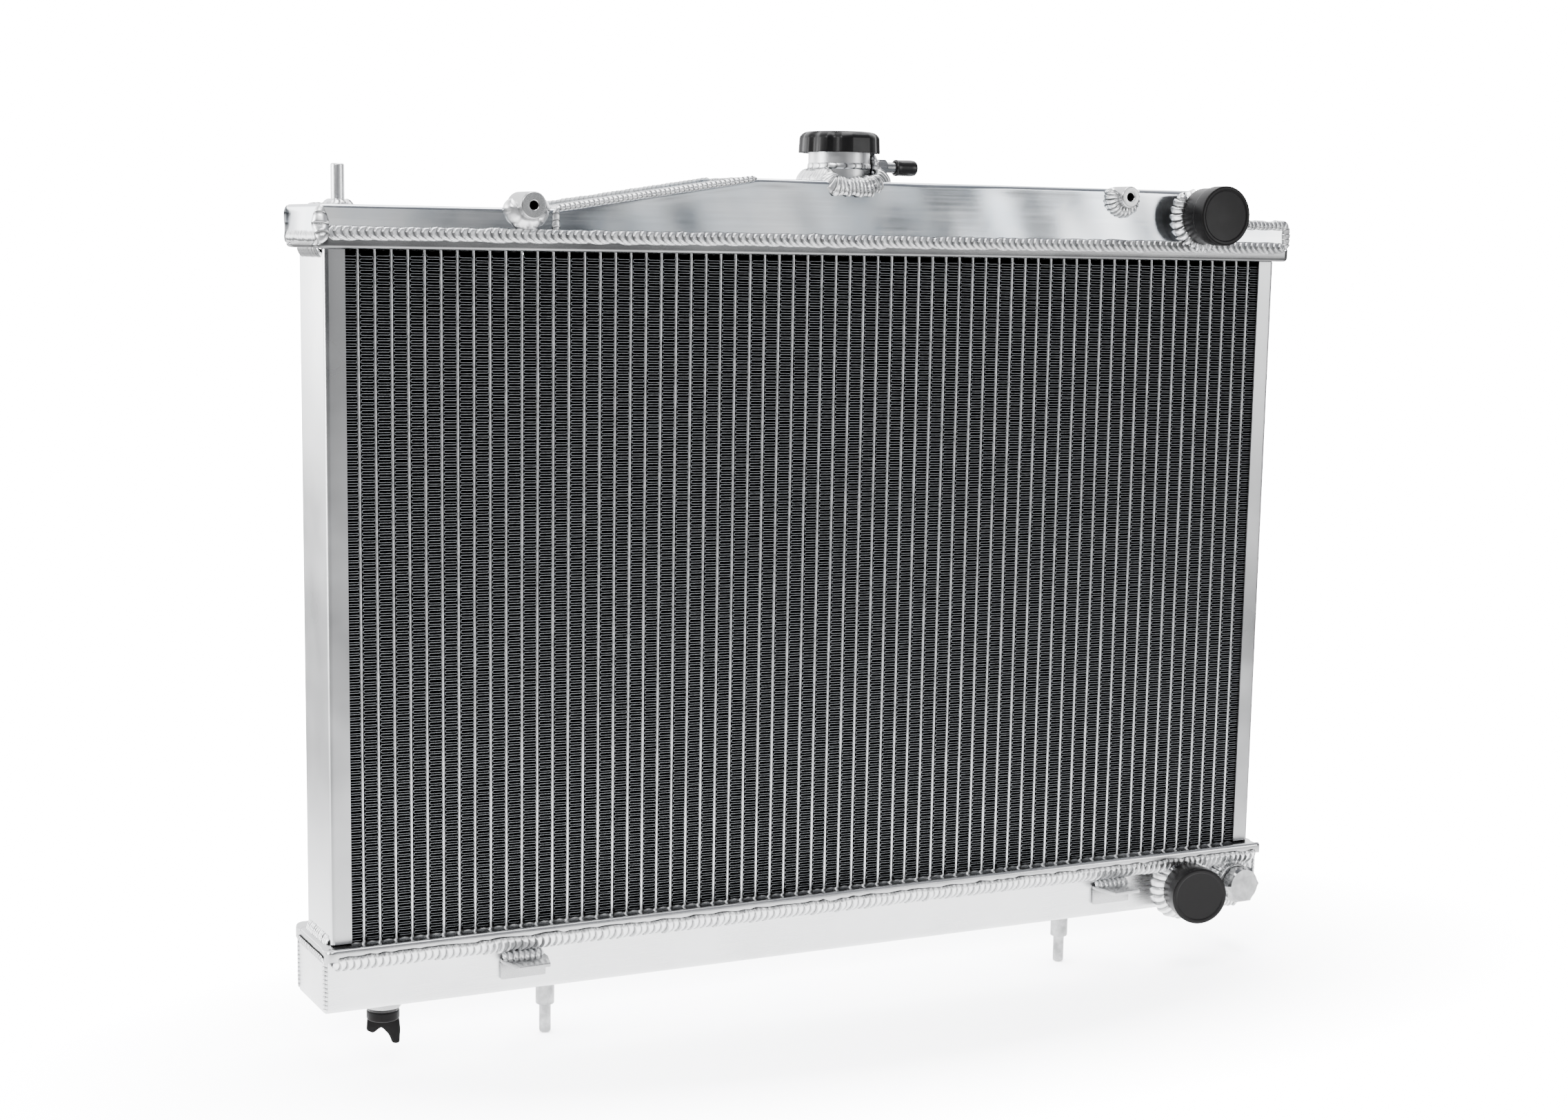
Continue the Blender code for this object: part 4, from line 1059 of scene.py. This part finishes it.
def make_long_seams(sign, face):
    """The seams of the front or the back, along both headers and up the raised tank."""
    half = TOP_HEADER[1][0] - 4 * MM
    y, z = sign * (TOP_HEADER[1][1] - 0.6 * MM), TOP_HEADER[1][2] + 1.9 * MM
    weld(f"top_seam_{face}", [(-half, y, z), (half, y, z)], (0, sign, 0.18), (8.2, 2.3, 4.7),
         -0.75, -sign * 0.30, depth=0.5, across=17, seed=71 + sign, dark=0.72)
    y, z = sign * (BOTTOM[1][1] + 4.4 * MM), BOTTOM_HEADER[0][2] - 2.6 * MM
    weld(f"bottom_seam_{face}", [(-half, y, z), (half, y, z)], (0, sign, -0.95),
         (14.0, 3.2, 4.4), 0.6, across=17, seed=75 + sign, dark=0.8)
    start, end = RAMP[0][0], RAMP[1][0]
    y = sign * (RAISED[1][1] - 0.4 * MM)
    ramp = [(start, y, raised_top(start) + 0.3 * MM), (end, y, raised_top(end) + 0.2 * MM)]
    weld(f"ramp_seam_{face}", ramp, (0, sign, 1.0), (4.6, 1.5, 3.1), depth=0.5, seed=79 + sign)
    y = sign * (RAISED[1][1] + 0.2 * MM)
    upright = [(start, y, TOP_HEADER[1][2] + 4 * MM), (start, y, LEFT_LOW[1][2])]
    weld(f"tank_upright_seam_{face}", upright, (0, sign, 0), (5.0, 1.0, 4.0), depth=0.25,
         seed=82 + sign)


def make_cross_seams():
    """The seams over the top of the tank, at both ends of its ramp."""
    reach = RAISED[1][1] - 2 * MM
    for label, x, z in (("low", RAMP[0][0], LEFT_LOW[1][2]), ("high", RAMP[1][0], RAISED[1][2])):
        weld(f"top_cross_seam_{label}", [(x, -reach, z), (x, reach, z)], UP, (5.0, 1.1, 3.4),
             0.4, seed=85)


def left_corner_weld(sign, face, end, y, foot, top):
    """A bead down the left end of the top tank, from its top to the header's underside."""
    x = end + 1.0 * MM
    low = TOP_HEADER[1][2] + 1.0 * MM
    rim = soften([(x, foot, TOP_HEADER[0][2] + 3.0 * MM), (x, foot, low), (x, y, low + 4.0 * MM),
                  (x, y, top)], 3.0 * MM)
    size = (8.5, 2.6, 6.0) if sign < 0 else (6.0, 1.0, 6.0)
    weld(f"top_corner_left_{face}", rim, (-0.7, sign, 0), size, 0.2, depth=0.4, seed=92 + sign,
         wander=0.2, dark=0.8)


def right_corner_weld(sign, face, end, y, top):
    """A bead along the top of the low right section and down its end."""
    x = end - 2.5 * MM
    rim = soften([(RIGHT_LOW[0][0] + 6 * MM, y, top), (x, y, top),
                  (x, y, TOP_HEADER[1][2] + 1.0 * MM)], 4 * MM)
    weld(f"top_corner_right_{face}", rim, (0.25, sign, 0.25), (6.5, 2.2, 3.4), depth=0.35,
         seed=92 + sign, wander=0.12, dark=0.6)


def make_end_seams(side, label):
    """The seams round the left or the right end of both tanks."""
    corner = 0 if side < 0 else 1
    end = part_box(f"top_tank_{label}_end")[corner][0]
    depth = RAISED[1][1]
    x, z = end - side * 0.5 * MM, TOP_HEADER[1][2] + 0.5 * MM
    weld(f"top_end_seam_{label}", [(x, -depth + 3 * MM, z), (x, depth - 3 * MM, z)],
         (side, 0, 0.3), (7.0, 1.6, 3.0), 0.4, depth=0.35, seed=91)
    top = LEFT_LOW[1][2] - 0.6 * MM
    for sign, face in ((-1, "front"), (1, "back")):
        y = sign * (depth - 0.6 * MM)
        if side < 0:
            left_corner_weld(sign, face, end, y, sign * (TOP_HEADER[1][1] - 0.6 * MM), top)
        else:
            right_corner_weld(sign, face, end, y, top)
    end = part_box(f"bottom_tank_{label}_end")[corner][0]
    depth = BOTTOM[1][1]
    x, z = end + side * 0.2 * MM, BOTTOM_HEADER[0][2] - 1 * MM
    weld(f"bottom_end_seam_{label}", [(x, -depth, z), (x, depth, z)], (side, 0, -0.4),
         (6.0, 1.2, 3.4), 0.4, depth=0.4, seed=95)
    x = end - side * 0.4 * MM
    for sign, face in ((-1, "front"), (1, "back")):
        y = sign * (depth - 0.4 * MM)
        weld(f"bottom_corner_{label}_{face}", [(x, y, 1.5 * MM), (x, y, BOTTOM_HEADER[0][2])],
             (side, sign, 0), (3.2, 0.7, 2.6), depth=0.3, seed=97 + sign)


# ---------------- kept nodes, stage, camera

def dress_kept_nodes():
    """Fine procedural materials for the CAD nodes that stay in view."""
    finish = {
        STEEL: ("cap_ear_plate", "cap_spring_disc", "cap_valve_bell"),
        RUBBER: ("cap_upper_gasket", "pressure_valve_seal", "drain_o_ring"),
        BRASS: ("pressure_valve_plate", "vacuum_valve"),
        MACHINED: ("plug_washer",),
    }
    for material, nodes in finish.items():
        for node in nodes:
            for slot in bpy.data.objects[node].material_slots:
                slot.material = material


FLOOR_GLOW = 2.0             # how bright the floor is for the object
FLOOR_SEEN = 3.9             # and for the camera
BACKDROP_SEEN = 18.0
BACKDROP = (3.0, 3.0, 3.05)
ROOM_LOW = (0.035, 0.038, 0.045)
ROOM_HIGH = (0.45, 0.46, 0.50)


def distance(tree, stretch=(1, 1, 1)):
    """How far a point is from the object's origin, once its coordinates are stretched."""
    return add(tree, "VectorMath", {0: object_coords(tree, stretch)}, "Value", operation="LENGTH")


def camera_ray(tree):
    return add(tree, "LightPath", {}, "Is Camera Ray")


def floor_material():
    """White floor that glows for the object; the camera sees it fade into the backdrop."""
    made, tree, shader = new_material("floor_white")
    near = spread(tree, distance(tree), 1.0, 0.10, 0.35, 1.0)
    wire(tree, shader, {
        "Base Color": blend_colours(tree, near, (0.0, 0.0, 0.0), (0.92, 0.92, 0.93)),
        "Roughness": 0.7,
        "Emission Color": (1.0, 1.0, 1.0, 1),
        "Emission Strength": spread(tree, near, 0.0, FLOOR_GLOW, 0.0, 1.0)})
    shaded = add(tree, "BsdfDiffuse", {"Color": (FLOOR_SEEN, FLOOR_SEEN, FLOOR_SEEN * 1.01, 1)})
    away = distance(tree, (1.0, 2.4, 1.0))
    far = add(tree, "Emission", {"Strength": spread(tree, away, 0.0, BACKDROP_SEEN, 0.34, 1.0)})
    seen = add(tree, "AddShader", {0: shaded, 1: far})
    either = add(tree, "MixShader", {0: camera_ray(tree), 1: shader.outputs["BSDF"], 2: seen})
    wire(tree, tree.nodes["Material Output"], {"Surface": either})
    return made


def make_floor():
    size, z = 8.0, CAD_BOX[0][2] - 0.2 * MM
    corners = [(-size, -size, z), (size, -size, z), (size, size, z), (-size, size, z)]
    mesh = quads_mesh("floor", corners, [(0, 1, 2, 3)], False)
    mesh.materials.append(floor_material())
    floor = bpy.data.objects.new("floor", mesh)
    bpy.context.scene.collection.objects.link(floor)


def make_world():
    """A bright backdrop behind the object, and a dimmer room on the camera's side."""
    world = bpy.data.worlds.new("studio")
    bpy.context.scene.world = world
    world.use_nodes = True
    tree = world.node_tree
    behind = spread(tree, coordinate(tree, "Y", "Generated"), 0.0, 1.0, -0.05, 0.35)
    overhead = spread(tree, coordinate(tree, "Z", "Generated"), 0.0, 1.0, 0.1, 0.8)
    room = blend_colours(tree, overhead, ROOM_LOW, ROOM_HIGH)
    tone = blend_colours(tree, behind, room, BACKDROP)
    tone = blend_colours(tree, camera_ray(tree), tone, (BACKDROP_SEEN,) * 3)
    wire(tree, tree.nodes["Background"], {"Color": tone})


def area_light(name, location, size, radiance, tone=(1, 1, 1)):
    """A rectangular light, aimed at the middle of the radiator."""
    data = bpy.data.lights.new(name, "AREA")
    data.shape = "RECTANGLE"
    data.size, data.size_y = size
    data.energy = radiance * math.pi * size[0] * size[1]
    data.color = tone
    lamp = bpy.data.objects.new(name, data)
    lamp.location = location
    aim = Vector((0, 0, 0.25)) - Vector(location)
    lamp.rotation_euler = aim.to_track_quat("-Z", "Y").to_euler()
    bpy.context.scene.collection.objects.link(lamp)


def make_lights():
    area_light("key", (-1.7, -1.5, 1.9), (1.3, 0.9), 12)
    area_light("front_right", (2.5, -2.6, 0.9), (1.1, 1.5), 6)
    area_light("front_middle", (1.35, -2.8, 0.75), (0.34, 1.3), 1.5, (0.95, 0.98, 1.0))
    area_light("front_left", (0.45, -2.9, 0.7), (0.5, 1.0), 1.2)
    area_light("left", (-2.4, 0.3, 0.6), (1.0, 1.6), 10)
    area_light("top", (0.2, -0.2, 2.4), (2.4, 1.0), 7)
    area_light("back_left", (-2.6, 4.5, 0.5), (2.4, 1.6), 4)


def make_camera():
    data = bpy.data.cameras.new("camera")
    data.sensor_width = 36.0
    data.lens = 56.4
    data.shift_x = 0.0071
    data.shift_y = 0.0388
    data.clip_end = 50.0
    item = bpy.data.objects.new("camera", data)
    item.location = (-0.7408, -1.3963, 0.4555)
    turn, pitch, roll = math.radians(26.86), math.radians(-8.72), math.radians(0.92)
    ahead = Vector((math.sin(turn) * math.cos(pitch), math.cos(turn) * math.cos(pitch),
                    math.sin(pitch)))
    item.rotation_mode = "QUATERNION"
    item.rotation_quaternion = ahead.to_track_quat("-Z", "Y") @ Quaternion((0, 0, 1), roll)
    bpy.context.scene.collection.objects.link(item)
    bpy.context.scene.camera = item


def main():
    make_camera()
    make_floor()
    make_world()
    make_lights()
    make_tubes("tubes_front", "tube_bank_front")
    make_tubes("tubes_back", "tube_bank_rear")
    for group in range(5):
        columns = range(group * 13, group * 13 + 13)
        make_fins(f"fins_{group + 1}", columns, ("fin_bank",) if group == 0 else ())
    make_header("bottom_header_rail", "bottom_header", BOTTOM_HEADER[1][2], 1, PALE_RAIL)
    make_header("top_header_rail", "top_header", TOP_HEADER[0][2], -1, SHADED_RAIL)
    make_side_plate("left_side_plate", "side_plate_left", -1)
    make_side_plate("right_side_plate", "side_plate_right", 1)
    make_top_tank()
    make_bottom_tank()
    make_neck()
    make_cap()
    make_spring("pressure_spring", 0.85 * MM, 3.5, "cap_valve")
    make_spring("vacuum_valve_spring", 0.28 * MM, 2.5, "pressure_valve")
    make_overflow()
    make_port("upper")
    make_port("lower")
    make_port_welds()
    make_boss("left", -20, 200, (11.5, 3.2, 7.0), 0.05, 21, 0.35)
    make_boss("right", -35, 215, (9.0, 3.2, 2.6), 0.45, 22, 0.95)
    make_bracket("left", 41)
    make_bracket("right", 42)
    make_lower_pin("left")
    make_lower_pin("right")
    make_upper_rod()
    make_drain()
    make_plug()
    make_long_seams(-1, "front")
    make_long_seams(1, "back")
    make_cross_seams()
    make_end_seams(-1, "left")
    make_end_seams(1, "right")
    dress_kept_nodes()


main()
